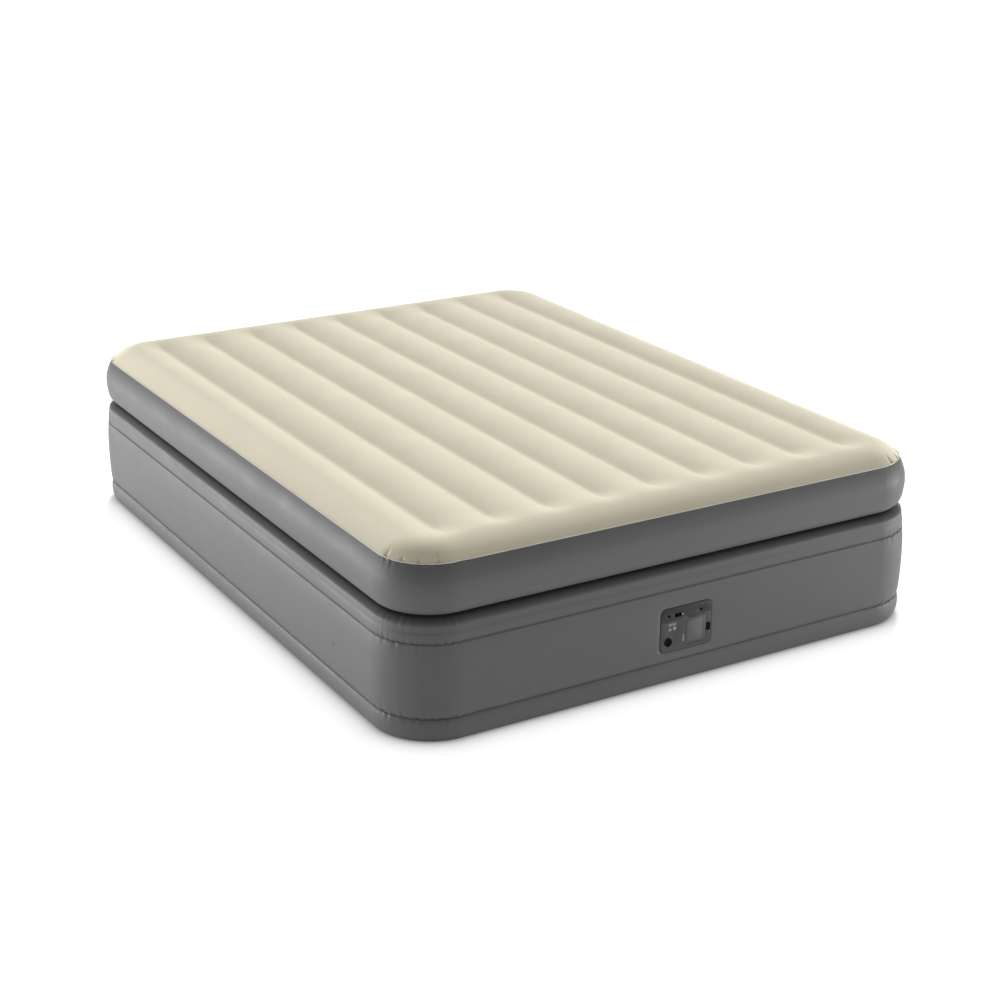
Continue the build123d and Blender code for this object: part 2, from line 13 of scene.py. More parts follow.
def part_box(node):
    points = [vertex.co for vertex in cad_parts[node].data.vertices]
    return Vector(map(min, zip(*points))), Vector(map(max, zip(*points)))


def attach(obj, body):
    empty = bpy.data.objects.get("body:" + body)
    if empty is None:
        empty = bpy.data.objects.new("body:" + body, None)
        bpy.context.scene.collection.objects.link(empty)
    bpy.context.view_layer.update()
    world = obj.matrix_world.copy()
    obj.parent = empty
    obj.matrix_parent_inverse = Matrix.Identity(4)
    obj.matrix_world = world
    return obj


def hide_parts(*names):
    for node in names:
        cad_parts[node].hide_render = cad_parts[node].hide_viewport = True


bl_info = {
    "name": "Raised airbed",
    "version": (1, 0, 0),
    "blender": (4, 5, 0),
    "location": "3D View > Sidebar > Airbed",
    "description": "Builds an inflated double-chamber airbed round its CAD frame",
    "category": "Add Mesh",
}

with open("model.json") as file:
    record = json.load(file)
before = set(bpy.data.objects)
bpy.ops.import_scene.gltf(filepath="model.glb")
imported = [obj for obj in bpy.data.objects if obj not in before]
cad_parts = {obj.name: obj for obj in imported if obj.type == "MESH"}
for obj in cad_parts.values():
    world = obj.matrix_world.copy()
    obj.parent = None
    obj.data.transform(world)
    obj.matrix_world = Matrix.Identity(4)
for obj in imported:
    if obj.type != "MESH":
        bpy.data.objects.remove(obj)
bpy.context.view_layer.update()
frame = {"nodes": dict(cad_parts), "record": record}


def centre_of(node):
    """The middle of a part's box."""
    return [(low + high) / 2 for low, high in zip(*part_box(node))]


# Lines of the bed, all read from the frame but the two corner radii.
HALF_X, HALF_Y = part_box("main_side_wall")[1][:2]
TOP_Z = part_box("top_sheet")[1][2]
SEAM_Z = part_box("top_sheet")[0][2]
SEAM_INSET = HALF_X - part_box("top_sheet")[1][0]
WAIST_Z = centre_of("middle_sheet")[2]
UPPER_PINCH_Z = centre_of("upper_belt")[2]
LOWER_PINCH_Z = centre_of("lower_belt")[2]
PINCH_INSET = HALF_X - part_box("upper_belt")[1][0]
SOLE_INSET = HALF_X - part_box("bottom_sheet")[1][0]
GROOVE_XS = [centre_of(f"upper_beam_{number}")[0] for number in range(1, 10)]
GROOVE_PITCH = GROOVE_XS[1] - GROOVE_XS[0]
LOWER_BEAM_XS = [centre_of(f"lower_beam_{number}")[0] for number in range(1, 6)]
PLATE_LOW, PLATE_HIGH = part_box("face_plate")
PANEL_MIDDLE = centre_of("face_plate")
PANEL_CORNER = 0.016
PLATE_THICK = PLATE_HIGH[1] - PLATE_LOW[1]
LID_LOW, LID_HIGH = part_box("cord_store_lid")
BUTTON_LOW, BUTTON_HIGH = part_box("power_button")
KNOB_LOW, KNOB_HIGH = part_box("selector_knob")
CORNER = 0.158


def opening_box(name):
    """The box of an opening that the record states."""
    return next(item["box_m"] for item in frame["record"]["physics"]["openings"] if item["name"] == name)


class AirbedSizes(bpy.types.PropertyGroup):
    rib_depth: bpy.props.FloatProperty(
        name="Rib depth", description="How far a groove lies under the crests", default=0.0152,
        min=0.0, max=0.016, subtype="DISTANCE", unit="LENGTH")
    border: bpy.props.FloatProperty(
        name="Border width", description="Width of the rounded border roll", default=0.085,
        min=0.03, subtype="DISTANCE", unit="LENGTH")
    skin: bpy.props.FloatProperty(
        name="Sheet thickness", description="Thickness of the vinyl sheets", default=0.0012,
        min=0.0003, subtype="DISTANCE", unit="LENGTH")
    pressure: bpy.props.FloatProperty(
        name="Air pressure", description="Pressure of the cloth simulation of the top", default=4.0, min=0.0)


class AirbedColours(bpy.types.PropertyGroup):
    cream: bpy.props.FloatVectorProperty(
        name="Flock", description="Colour of the flocked top", subtype="COLOR", size=3,
        default=(0.60, 0.548, 0.417), min=0, max=1)
    grey: bpy.props.FloatVectorProperty(
        name="Walls", description="Colour of the side walls", subtype="COLOR", size=3,
        default=(0.084, 0.081, 0.083), min=0, max=1)
    panel: bpy.props.FloatVectorProperty(
        name="Pump panel", description="Colour of the pump's face", subtype="COLOR", size=3,
        default=(0.0335, 0.0338, 0.0332), min=0, max=1)


def sizes():
    return bpy.context.scene.airbed_sizes


def colours():
    return bpy.context.scene.airbed_colours


# ---- Materials ----

class Tree:
    """A short way to write a material's nodes."""

    def __init__(self, name):
        self.material = bpy.data.materials.new(name)
        self.material.use_nodes = True
        self.nodes = self.material.node_tree.nodes
        self.links = self.material.node_tree.links
        self.shader = self.nodes["Principled BSDF"]

    def link(self, source, target):
        self.links.new(source, target)

    def coords(self, turn=(0, 0, 0), scale=(1, 1, 1)):
        """Object coordinates through a mapping."""
        place = self.nodes.new("ShaderNodeTexCoord")
        mapping = self.nodes.new("ShaderNodeMapping")
        mapping.inputs["Rotation"].default_value = turn
        mapping.inputs["Scale"].default_value = scale
        self.link(place.outputs["Object"], mapping.inputs["Vector"])
        return mapping.outputs["Vector"]

    def noise(self, coords, scale, detail=2.0, roughness=0.5, distortion=0.0):
        made = self.nodes.new("ShaderNodeTexNoise")
        made.inputs["Scale"].default_value = scale
        made.inputs["Detail"].default_value = detail
        made.inputs["Roughness"].default_value = roughness
        made.inputs["Distortion"].default_value = distortion
        self.link(coords, made.inputs["Vector"])
        return made.outputs["Fac"]

    def cells(self, coords, scale):
        made = self.nodes.new("ShaderNodeTexVoronoi")
        made.inputs["Scale"].default_value = scale
        self.link(coords, made.inputs["Vector"])
        return made.outputs["Distance"]

    def spread(self, value, low, high, to_low=0.0, to_high=1.0, clamp=True):
        """Maps a value's range onto another."""
        made = self.nodes.new("ShaderNodeMapRange")
        made.clamp = clamp
        for socket, number in zip(("From Min", "From Max", "To Min", "To Max"), (low, high, to_low, to_high)):
            made.inputs[socket].default_value = number
        self.link(value, made.inputs["Value"])
        return made.outputs["Result"]

    def blend(self, factor, first, second):
        """Two colours, or sockets, mixed by a factor."""
        made = self.nodes.new("ShaderNodeMix")
        made.data_type = "RGBA"
        self.link(factor, made.inputs["Factor"])
        for socket, value in ((made.inputs["A"], first), (made.inputs["B"], second)):
            if isinstance(value, bpy.types.NodeSocket):
                self.link(value, socket)
            else:
                socket.default_value = (*value, 1)
        return made.outputs["Result"]

    def operate(self, operation, first, second=None):
        """A vector operation on one socket and a socket or a fixed vector."""
        made = self.nodes.new("ShaderNodeVectorMath")
        made.operation = operation
        self.link(first, made.inputs[0])
        if second is not None:
            made.inputs[1].default_value = second
        return made.outputs["Value" if operation == "LENGTH" else "Vector"]

    def reckon(self, operation, first, *numbers):
        """A sum on one socket and fixed numbers."""
        made = self.nodes.new("ShaderNodeMath")
        made.operation = operation
        self.link(first, made.inputs[0])
        for position, number in enumerate(numbers, 1):
            made.inputs[position].default_value = number
        return made.outputs["Value"]

    def bump(self, height, strength, distance, before=None):
        made = self.nodes.new("ShaderNodeBump")
        made.inputs["Strength"].default_value = strength
        made.inputs["Distance"].default_value = distance
        self.link(height, made.inputs["Height"])
        if before is not None:
            self.link(before, made.inputs["Normal"])
        return made.outputs["Normal"]

    def finish(self, colour=None, rough=None, normal=None, **settings):
        """Wires the shader; plain numbers are set on its own sockets."""
        for socket, value in (("Base Color", colour), ("Roughness", rough), ("Normal", normal)):
            if isinstance(value, bpy.types.NodeSocket):
                self.link(value, self.shader.inputs[socket])
            elif value is not None:
                self.shader.inputs[socket].default_value = (*value, 1) if socket == "Base Color" else value
        for name, value in settings.items():
            self.shader.inputs[name.replace("_", " ")].default_value = value
        return self.material


def shade(colour, factor):
    return tuple(min(1.0, channel * factor) for channel in colour)


def flock(name, colour, nap=0.35):
    """Short velour flock: fine fibre grain, soft nap patches and a faint sheen."""
    tree = Tree(name)
    place = tree.coords()
    fibres = tree.noise(place, 1500, detail=3)
    patches = tree.noise(place, 9, detail=4, roughness=0.6)
    brushed = tree.noise(tree.coords(scale=(1, 0.12, 1)), 160, detail=3)
    grain = tree.blend(tree.spread(fibres, 0.3, 0.7), shade(colour, 0.93), shade(colour, 1.04))
    worn = tree.blend(tree.spread(patches, 0.35, 0.7), grain, shade(colour, 0.965))
    normal = tree.bump(fibres, nap, 0.0004)
    normal = tree.bump(brushed, 0.10, 0.0006, normal)
    rough = tree.spread(patches, 0.3, 0.7, 0.86, 0.96)
    return tree.finish(worn, rough, normal, Sheen_Weight=0.18, Sheen_Roughness=0.45,
                       Specular_IOR_Level=0.25)


def vinyl(name, colour, rough=(0.50, 0.62), grain_scale=1100):
    """Soft vinyl sheet with a fine leather grain, faint mottling and light scuffs."""
    tree = Tree(name)
    place = tree.coords()
    grain = tree.cells(place, grain_scale)
    mottle = tree.noise(place, 14, detail=5, roughness=0.6)
    scuffs = tree.noise(tree.coords(turn=(0.2, 0.3, 0.6), scale=(1, 1, 9)), 26, detail=6, roughness=0.7)
    base = tree.blend(tree.spread(mottle, 0.3, 0.7), shade(colour, 0.94), shade(colour, 1.05))
    worn = tree.blend(tree.spread(scuffs, 0.62, 0.80, 0, 0.35), base, shade(colour, 1.25))
    soft = tree.noise(place, 55, detail=3)
    normal = tree.bump(grain, 0.12, 0.0003)
    normal = tree.bump(soft, 0.08, 0.0012, normal)
    return tree.finish(worn, tree.spread(mottle, 0.3, 0.7, *rough), normal, Specular_IOR_Level=0.42,
                       Sheen_Weight=0.05, Sheen_Roughness=0.5)


def moulded(name, colour, rough=0.5, grain=0.25, scale=1800, gloss=0.5):
    """Moulded plastic with a spark-eroded texture and slight wear."""
    tree = Tree(name)
    place = tree.coords()
    texture = tree.noise(place, scale, detail=2)
    cloud = tree.noise(place, 60, detail=4)
    base = tree.blend(tree.spread(cloud, 0.35, 0.7), shade(colour, 0.90), shade(colour, 1.10))
    normal = tree.bump(texture, grain, 0.00015)
    return tree.finish(base, tree.spread(cloud, 0.3, 0.7, rough - 0.06, rough + 0.08), normal,
                       Specular_IOR_Level=gloss)


def metal(name, colour, rough=0.3):
    """Turned or drawn metal with fine marks."""
    tree = Tree(name)
    marks = tree.noise(tree.coords(scale=(1, 14, 1)), 900, detail=3)
    cloud = tree.noise(tree.coords(), 120, detail=3)
    base = tree.blend(tree.spread(cloud, 0.35, 0.7), shade(colour, 0.85), colour)
    return tree.finish(base, tree.spread(marks, 0.3, 0.7, rough - 0.08, rough + 0.12),
                       tree.bump(marks, 0.1, 0.00005), Metallic=1.0)


def build_materials():
    """Every finish of the bed by name."""
    pick = colours()
    return {
        "flock": flock("cream_flock", pick.cream),
        "wall": vinyl("grey_vinyl", pick.grey),
        "sole": vinyl("sole_vinyl", shade(pick.grey, 0.8), rough=(0.55, 0.7)),
        "seam": vinyl("weld_line", (0.50, 0.48, 0.42), rough=(0.4, 0.5), grain_scale=700),
        # The pinch weld is a slightly darker copy of the wall vinyl: a weld line, darkened as painted shade
        # of its crease.
        "pinch": vinyl("pinch_weld_painted_shade", shade(pick.grey, 0.9), rough=(0.45, 0.6)),
        # The web is a darker copy of the wall vinyl: painted shade of the gap between the chambers.
        "web": vinyl("web_vinyl_painted_shade", shade(pick.grey, 0.6), rough=(0.7, 0.8)),
        "inner": vinyl("inner_sheet", (0.35, 0.35, 0.35)),
        "panel": moulded("panel_plastic", pick.panel, 0.46),
        "brow": moulded("brow_plastic", (0.0140, 0.0126, 0.0132), 0.5, gloss=0.4),
        "lid": moulded("lid_plastic", (0.043, 0.0434, 0.0427), 0.5),
        "label": moulded("label_plastic", (0.076, 0.0764, 0.0757), 0.5, grain=0.1),
        "black": moulded("black_plastic", (0.0016, 0.0016, 0.0016), 0.5, grain=0.15, gloss=0.05),
        "mark": moulded("printed_mark", (0.26, 0.265, 0.258), 0.5, grain=0.05),
        "tub": moulded("tub_plastic", (0.05, 0.052, 0.05), 0.5),
        "rubber": moulded("seal_rubber", (0.015, 0.015, 0.015), 0.75, grain=0.3),
        "fan": moulded("fan_plastic", (0.55, 0.55, 0.52), 0.35, grain=0.1),
        "steel": metal("bright_steel", (0.62, 0.62, 0.63)),
        "plated": metal("plated_steel", (0.42, 0.42, 0.44), 0.4),
        "bronze": metal("sintered_bronze", (0.45, 0.30, 0.14), 0.5),
    }


MATERIALS = {}


# ---- Mesh helpers ----

def new_object(name, data):
    """An object linked to the scene."""
    made = bpy.data.objects.new(name, data)
    bpy.context.scene.collection.objects.link(made)
    return made


def remove_object(piece):
    """Removes an object with its mesh."""
    mesh = piece.data
    bpy.data.objects.remove(piece)
    bpy.data.meshes.remove(mesh)


def mesh_object(name, points, faces, material, uvs=None, smooth=True):
    """A mesh object at the origin with one material; uvs is one pair for each point."""
    mesh = bpy.data.meshes.new(name)
    mesh.from_pydata([tuple(point) for point in points], [], [tuple(face) for face in faces])
    if uvs is not None:
        layer = mesh.uv_layers.new(name="UVMap")
        corners = np.zeros(len(mesh.loops), np.int32)
        mesh.loops.foreach_get("vertex_index", corners)
        layer.data.foreach_set("uv", np.asarray(uvs, np.float32)[corners].ravel())
    mesh.materials.append(MATERIALS[material])
    if smooth:
        mesh.shade_smooth()
    mesh.validate()
    return new_object(name, mesh)


def apply_modifiers(piece):
    """Replaces a piece's mesh by its evaluated one."""
    bpy.context.view_layer.update()
    evaluated = piece.evaluated_get(bpy.context.evaluated_depsgraph_get())
    mesh = bpy.data.meshes.new_from_object(evaluated)
    piece.modifiers.clear()
    old = piece.data
    piece.data = mesh
    bpy.data.meshes.remove(old)
    return piece


def thicken(piece, thickness):
    """Gives a sheet its thickness, inwards, and closes its rim."""
    solid = piece.modifiers.new("thickness", "SOLIDIFY")
    solid.thickness = thickness
    solid.offset = -1
    return apply_modifiers(piece)


def carve(piece, cutter):
    """Cuts one closed shape out of another and removes the cutter."""
    cut = piece.modifiers.new("cut", "BOOLEAN")
    cut.operation = "DIFFERENCE"
    cut.solver = "EXACT"
    cut.object = cutter
    apply_modifiers(piece)
    remove_object(cutter)
    return piece


def bevelled(piece, width, segments=2, angle=35):
    """Rounds every sharp edge of a hard piece."""
    bevel = piece.modifiers.new("edges", "BEVEL")
    bevel.width = width
    bevel.segments = segments
    bevel.limit_method = "ANGLE"
    bevel.angle_limit = math.radians(angle)
    apply_modifiers(piece)
    piece.data.shade_smooth()
    piece.data.set_sharp_from_angle(angle=math.radians(angle))
    return piece


def cad_copy(node, name, material, width):
    """A merged copy of a CAD node with softened edges, which stands for that node."""
    work = bmesh.new()
    work.from_mesh(frame["nodes"][node].data)
    bmesh.ops.transform(work, matrix=frame["nodes"][node].matrix_world, verts=work.verts)
    bmesh.ops.remove_doubles(work, verts=work.verts, dist=0.000002)
    bmesh.ops.dissolve_limit(work, angle_limit=math.radians(1), verts=work.verts, edges=work.edges)
    mesh = bpy.data.meshes.new(name)
    work.to_mesh(mesh)
    work.free()
    mesh.materials.clear()
    mesh.materials.append(MATERIALS[material])
    piece = new_object(name, mesh)
    bevelled(piece, width)
    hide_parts(node)
    return piece


def panel_place(node):
    """The middle of a part, across and up from the panel's middle."""
    x, _, z = centre_of(node)
    return x - PANEL_MIDDLE[0], z - PANEL_MIDDLE[2]


def on_panel(u, w, depth):
    """A point given across, up and behind the panel's front, in the shared frame."""
    return (PANEL_MIDDLE[0] + u, PLATE_LOW[1] + depth, PANEL_MIDDLE[2] + w)


def panel_prism(name, outline, start, end, material):
    """A block with an outline of (u, w) points, between two depths behind the panel's front."""
    count = len(outline)
    points = [on_panel(u, w, start) for u, w in outline] + [on_panel(u, w, end) for u, w in outline]
    faces = [tuple(range(count)), tuple(range(2 * count - 1, count - 1, -1))]
    for i in range(count):
        j = (i + 1) % count
        faces.append((i, i + count, j + count, j))
    return mesh_object(name, points, faces, material, smooth=False)


def round_outline(u, w, width, height, corner, steps=6):
    """A rounded rectangle of (u, w) points about a middle, anticlockwise from the right."""
    outline = []
    for quarter, (right, up) in enumerate(((1, 1), (-1, 1), (-1, -1), (1, -1))):
        for step in range(steps + 1):
            angle = (quarter + step / steps) * math.pi / 2
            outline.append((u + right * (width / 2 - corner) + corner * math.cos(angle),
                            w + up * (height / 2 - corner) + corner * math.sin(angle)))
    return outline


def circle_outline(u, w, radius, count=32):
    return [(u + radius * math.cos(2 * math.pi * k / count), w + radius * math.sin(2 * math.pi * k / count))
            for k in range(count)]


def turned_piece(name, u, w, profile, material, count=48):
    """A piece turned about an axis square to the panel.

    The profile's (radius, depth) points start and end on the axis.
    """
    rings = profile[1:-1]
    points = [on_panel(u, w, profile[0][1])]
    for radius, depth in rings:
        for k in range(count):
            angle = 2 * math.pi * k / count
            points.append(on_panel(u + radius * math.cos(angle), w + radius * math.sin(angle), depth))
    points.append(on_panel(u, w, profile[-1][1]))
    faces = []
    for k in range(count):
        after = (k + 1) % count
        faces.append((0, 1 + k, 1 + after))
        for ring in range(len(rings) - 1):
            low, high = 1 + ring * count, 1 + (ring + 1) * count
            faces.append((low + k, high + k, high + after, low + after))
        last = 1 + (len(rings) - 1) * count
        faces.append((last + k, len(points) - 1, last + after))
    piece = mesh_object(name, points, faces, material)
    piece.data.set_sharp_from_angle(angle=math.radians(40))
    return piece


def repeat_tree():
    """The node tree that sets small blocks along a path, with its sizes as named inputs."""
    tree = bpy.data.node_groups.new("blocks_along_path", "GeometryNodeTree")
    tree.interface.new_socket("Path", in_out="INPUT", socket_type="NodeSocketGeometry")
    for name in ("Spacing", "Along", "Across", "Up"):
        tree.interface.new_socket(name, in_out="INPUT", socket_type="NodeSocketFloat")
    tree.interface.new_socket("Finish", in_out="INPUT", socket_type="NodeSocketMaterial")
    tree.interface.new_socket("Blocks", in_out="OUTPUT", socket_type="NodeSocketGeometry")
    source = tree.nodes.new("NodeGroupInput")
    result = tree.nodes.new("NodeGroupOutput")
    path = tree.nodes.new("GeometryNodeMeshToCurve")
    spaced = tree.nodes.new("GeometryNodeResampleCurve")
    spaced.mode = "LENGTH"
    size = tree.nodes.new("ShaderNodeCombineXYZ")
    block = tree.nodes.new("GeometryNodeMeshCube")
    tangent = tree.nodes.new("GeometryNodeInputTangent")
    turn = tree.nodes.new("FunctionNodeAlignRotationToVector")
    turn.axis = "X"
    turn.pivot_axis = "Z"
    placed = tree.nodes.new("GeometryNodeInstanceOnPoints")
    real = tree.nodes.new("GeometryNodeRealizeInstances")
    finish = tree.nodes.new("GeometryNodeSetMaterial")
    for start, output, end, target in (
        (source, "Path", path, "Mesh"), (path, "Curve", spaced, "Curve"),
        (source, "Spacing", spaced, "Length"), (source, "Along", size, "X"),
        (source, "Across", size, "Y"), (source, "Up", size, "Z"),
        (size, "Vector", block, "Size"), (tangent, "Tangent", turn, "Vector"),
        (spaced, "Curve", placed, "Points"), (block, "Mesh", placed, "Instance"),
        (turn, "Rotation", placed, "Rotation"), (placed, "Instances", real, "Geometry"),
        (real, "Geometry", finish, "Geometry"), (source, "Finish", finish, "Material"),
        (finish, "Geometry", result, "Blocks"),
    ):
        tree.links.new(start.outputs[output], end.inputs[target])
    return tree


def blocks_along(name, points, closed, spacing, size, material):
    """Small blocks of a size (along, across, up) spaced along a path, as one plain mesh."""
    count = len(points)
    edges = [(k, (k + 1) % count) for k in range(count if closed else count - 1)]
    mesh = bpy.data.meshes.new(name)
    mesh.from_pydata([tuple(point) for point in points], edges, [])
    piece = new_object(name, mesh)
    tree = bpy.data.node_groups.get("blocks_along_path") or repeat_tree()
    values = {"Spacing": spacing, "Along": size[0], "Across": size[1], "Up": size[2],
              "Finish": MATERIALS[material]}
    repeats = piece.modifiers.new("repeats", "NODES")
    repeats.node_group = tree
    for item in tree.interface.items_tree:
        if item.in_out == "INPUT" and item.name in values:
            repeats[item.identifier] = values[item.name]
    return apply_modifiers(piece)


def smooth_line(points, count):
    """Points spaced evenly along a smooth curve through the given ones."""
    points = np.array(points, float)
    padded = np.vstack([2 * points[0] - points[1], points, 2 * points[-1] - points[-2]])
    fine = []
    for k in range(1, len(padded) - 2):
        a, b, c, d = padded[k - 1:k + 3]
        t = np.linspace(0, 1, 24, endpoint=False)[:, None]
        fine.append(0.5 * (2 * b + (c - a) * t + (2 * a - 5 * b + 4 * c - d) * t ** 2
                           + (3 * b - a - 3 * c + d) * t ** 3))
    fine = np.vstack(fine + [points[-1:]])
    steps = np.r_[0, np.cumsum(np.linalg.norm(np.diff(fine, axis=0), axis=1))]
    wanted = np.linspace(0, steps[-1], count)
    return np.column_stack([np.interp(wanted, steps, fine[:, axis]) for axis in range(fine.shape[1])])


def bed_outline(straight=0.018, corner=0.0036):
    """The widest outline: places, outward normals, distance along it and nearness to a corner."""
    near_x, near_y = HALF_X - CORNER, HALF_Y - CORNER
    places, normals, bends = [], [], []
    for quarter in range(4):
        turn = quarter * math.pi / 2
        centre = ((near_x, near_y), (-near_x, near_y), (-near_x, -near_y), (near_x, -near_y))[quarter]
        count = round(CORNER * math.pi / 2 / corner)
        for step in range(count + 1):
            angle = turn + step / count * math.pi / 2
            normals.append((math.cos(angle), math.sin(angle)))
            places.append((centre[0] + CORNER * normals[-1][0], centre[1] + CORNER * normals[-1][1]))
            bends.append(1.0)
        length = 2 * (near_x if quarter % 2 == 0 else near_y)
        inner = round(length / straight)
        start = places[-1]
        angle = turn + math.pi / 2
        along = (-math.sin(angle), math.cos(angle))
        for step in range(1, inner):
            move = step / inner * length
            normals.append((math.cos(angle), math.sin(angle)))
            places.append((start[0] + along[0] * move, start[1] + along[1] * move))
            bends.append(math.exp(-min(move, length - move) / 0.07))
    places, normals = np.array(places), np.array(normals)
    steps = np.linalg.norm(np.roll(places, -1, axis=0) - places, axis=1)
    distance = np.r_[0, np.cumsum(steps)[:-1]]
    return places, normals, distance, np.array(bends)


def ripple(distance, wave, seed):
    """An uneven ripple along the outline, from -1 to 1, with a typical wave length."""
    rng = random.Random(seed)
    total = np.zeros_like(distance)
    for k in range(5):
        length = wave * rng.uniform(0.6, 1.7)
        total += math.sqrt(0.4) * np.sin(2 * math.pi * distance / length + rng.uniform(0, 6.3))
    return total / 1.6


def ring_sheet(name, profile, material, dents=None, thickness=None):
    """A wall that carries its section, (inset, height) points, round the outline.

    dents(distance, bends, along) gives how far each point is pushed in.
    """
    places, normals, distance, bends = bed_outline()
    rows, columns = len(profile), len(places)
    along = np.linspace(0, 1, rows)
    inset = np.tile(profile[:, 0], (columns, 1))
    if dents is not None:
        inset = inset + dents(distance[:, None], bends[:, None], along[None, :])
    flat = places[:, None, :] - normals[:, None, :] * inset[:, :, None]
    height = np.tile(profile[:, 1], (columns, 1))
    points = np.dstack([flat, height]).reshape(-1, 3)
    lengths = np.r_[0, np.cumsum(np.linalg.norm(np.diff(profile, axis=0), axis=1))]
    uvs = np.dstack([np.tile(distance[:, None], (1, rows)), np.tile(lengths, (columns, 1))]).reshape(-1, 2)
    faces = []
    for i in range(columns):
        j = (i + 1) % columns
        for k in range(rows - 1):
            faces.append((i * rows + k, i * rows + k + 1, j * rows + k + 1, j * rows + k))
    piece = mesh_object(name, points, faces, material, uvs)
    return thicken(piece, thickness or sizes().skin)


def graded(half, *zones):
    """Coordinates from -half to half.

    Each zone is (distance from the end, spacing); the last is the spacing of the rest.
    """
    side = [half]
    for reach, spacing in zones[:-1]:
        low = half - reach
        side += list(np.linspace(side[-1], low, max(2, round((side[-1] - low) / spacing)) + 1)[1:])
    middle = np.linspace(-side[-1], side[-1], max(2, round(2 * side[-1] / zones[-1])) + 1)
    return np.r_[-np.array(side[:-1]), middle, side[:-1][::-1]]


def rounded_grid(half_x, half_y, radius, xs, ys):
    """A grid whose four corners are bent into round ones: (places, nearness to the edge)."""
    u, v = np.meshgrid(xs, ys, indexing="ij")
    a = np.clip((np.abs(u) - (half_x - radius)) / radius, 0, 1)
    b = np.clip((np.abs(v) - (half_y - radius)) / radius, 0, 1)
    reach = np.maximum(a, b)
    with np.errstate(divide="ignore", invalid="ignore"):
        angle = np.where(a >= b, b / a, 2 - a / b) * math.pi / 4
    angle = np.nan_to_num(angle)
    corner = (a > 0) & (b > 0)
    x = np.where(corner, (half_x - radius) + radius * reach * np.cos(angle), np.abs(u))
    y = np.where(corner, (half_y - radius) + radius * reach * np.sin(angle), np.abs(v))
    inset = np.where(corner, radius * (1 - reach), np.minimum(half_x - x, half_y - y))
    return np.sign(u) * x, np.sign(v) * y, inset


def grid_faces(columns, rows):
    faces = []
    for i in range(columns - 1):
        for j in range(rows - 1):
            here = i * rows + j
            faces.append((here, here + rows, here + rows + 1, here + 1))
    return faces


def fade(value):
    """A smooth step from 0 to 1."""
    value = np.clip(value, 0, 1)
    return value * value * (3 - 2 * value)


# ---- Top sheet ----

GROOVE_REACH = 0.922
GROOVE_FADE = 0.125
GROOVE_ROUNDING = 0.035
GROOVE_POWER = 1.9
GROOVES_FROM_SEAM = 0.040
BORDER_POWER = 2.4
SWELL_CAP = 0.0035
CLOTH_FRAMES = 20


def groove_shape(x, y):
    """How deep the grooves are at each place, from 0 on a crest to 1 in a groove."""
    nearest = np.min(np.abs(x[..., None] - np.array(GROOVE_XS)), axis=-1)
    share = np.clip(nearest / (GROOVE_PITCH / 2), 0, 1)
    valley = (1 - np.sqrt(share ** 2 + GROOVE_ROUNDING ** 2) / math.hypot(1, GROOVE_ROUNDING)) ** GROOVE_POWER
    ends = fade((GROOVE_REACH - np.abs(y)) / GROOVE_FADE)
    return valley / (1 - GROOVE_ROUNDING) ** GROOVE_POWER * ends


PLEAT_ANGLES = np.radians((13, 33, 51, 70))
PLEAT_REACH = 0.030
PLEAT_DEPTH = 0.0045


def corner_pleats(x, y, inset):
    """How deep the small gathers above the seam are, from 0 to 1, where the sheet turns each corner."""
    across, up = np.abs(x) - (HALF_X - CORNER), np.abs(y) - (HALF_Y - CORNER)
    angle = np.arctan2(up, across)
    radius = np.hypot(across, up)
    depth = np.zeros_like(x)
    for number, middle in enumerate(PLEAT_ANGLES):
        reach = PLEAT_REACH * (0.8 + 0.25 * math.sin(5.0 * number))
        width = 0.0052 * np.clip(1 - inset / reach, 0.25, 1)
        height = fade(1 - inset / reach) * fade(inset / 0.004)
        depth = depth + height * np.exp(-((angle - middle) * radius / width) ** 2)
    return np.where((across > 0) & (up > 0), depth, 0)


def read_points(piece):
    """A mesh's points, one row for each."""
    points = np.empty(len(piece.data.vertices) * 3, np.float32)
    piece.data.vertices.foreach_get("co", points)
    return points.reshape(-1, 3)


def write_points(piece, points):
    piece.data.vertices.foreach_set("co", points.astype(np.float32).ravel())
    piece.data.update()


def inflate(piece, held, cap):
    """Swells a sheet by cloth pressure.

    held is how firmly each point is pinned, and cap how far one may move.
    """
    scene = bpy.context.scene
    before = read_points(piece)
    group = piece.vertex_groups.new(name="held")
    levels = np.round(held, 1)
    for level in np.unique(levels[levels > 0]):
        group.add([int(k) for k in np.flatnonzero(levels == level)], float(level), "REPLACE")
    cloth = piece.modifiers.new("air", "CLOTH")
    cloth.settings.use_pressure = True
    cloth.settings.uniform_pressure_force = sizes().pressure
    cloth.settings.vertex_group_mass = "held"
    cloth.settings.quality = 5
    cloth.settings.tension_stiffness = 40
    cloth.settings.compression_stiffness = 40
    cloth.settings.bending_stiffness = 2
    cloth.settings.effector_weights.gravity = 0
    for number in range(1, CLOTH_FRAMES + 1):
        scene.frame_set(number)
    apply_modifiers(piece)
    scene.frame_set(1)
    piece.vertex_groups.clear()
    move = read_points(piece) - before
    length = np.linalg.norm(move, axis=1, keepdims=True)
    move *= cap * np.tanh(length / cap) / np.maximum(length, 1e-9)
    write_points(piece, before + move)


def gather(piece, depth):
    """Draws a sheet in along its own normals by a share of the pleat depth."""
    points = read_points(piece)
    normals = np.empty_like(points).ravel()
    piece.data.vertex_normals.foreach_get("vector", normals)
    write_points(piece, points - normals.reshape(-1, 3) * (PLEAT_DEPTH * depth)[:, None])


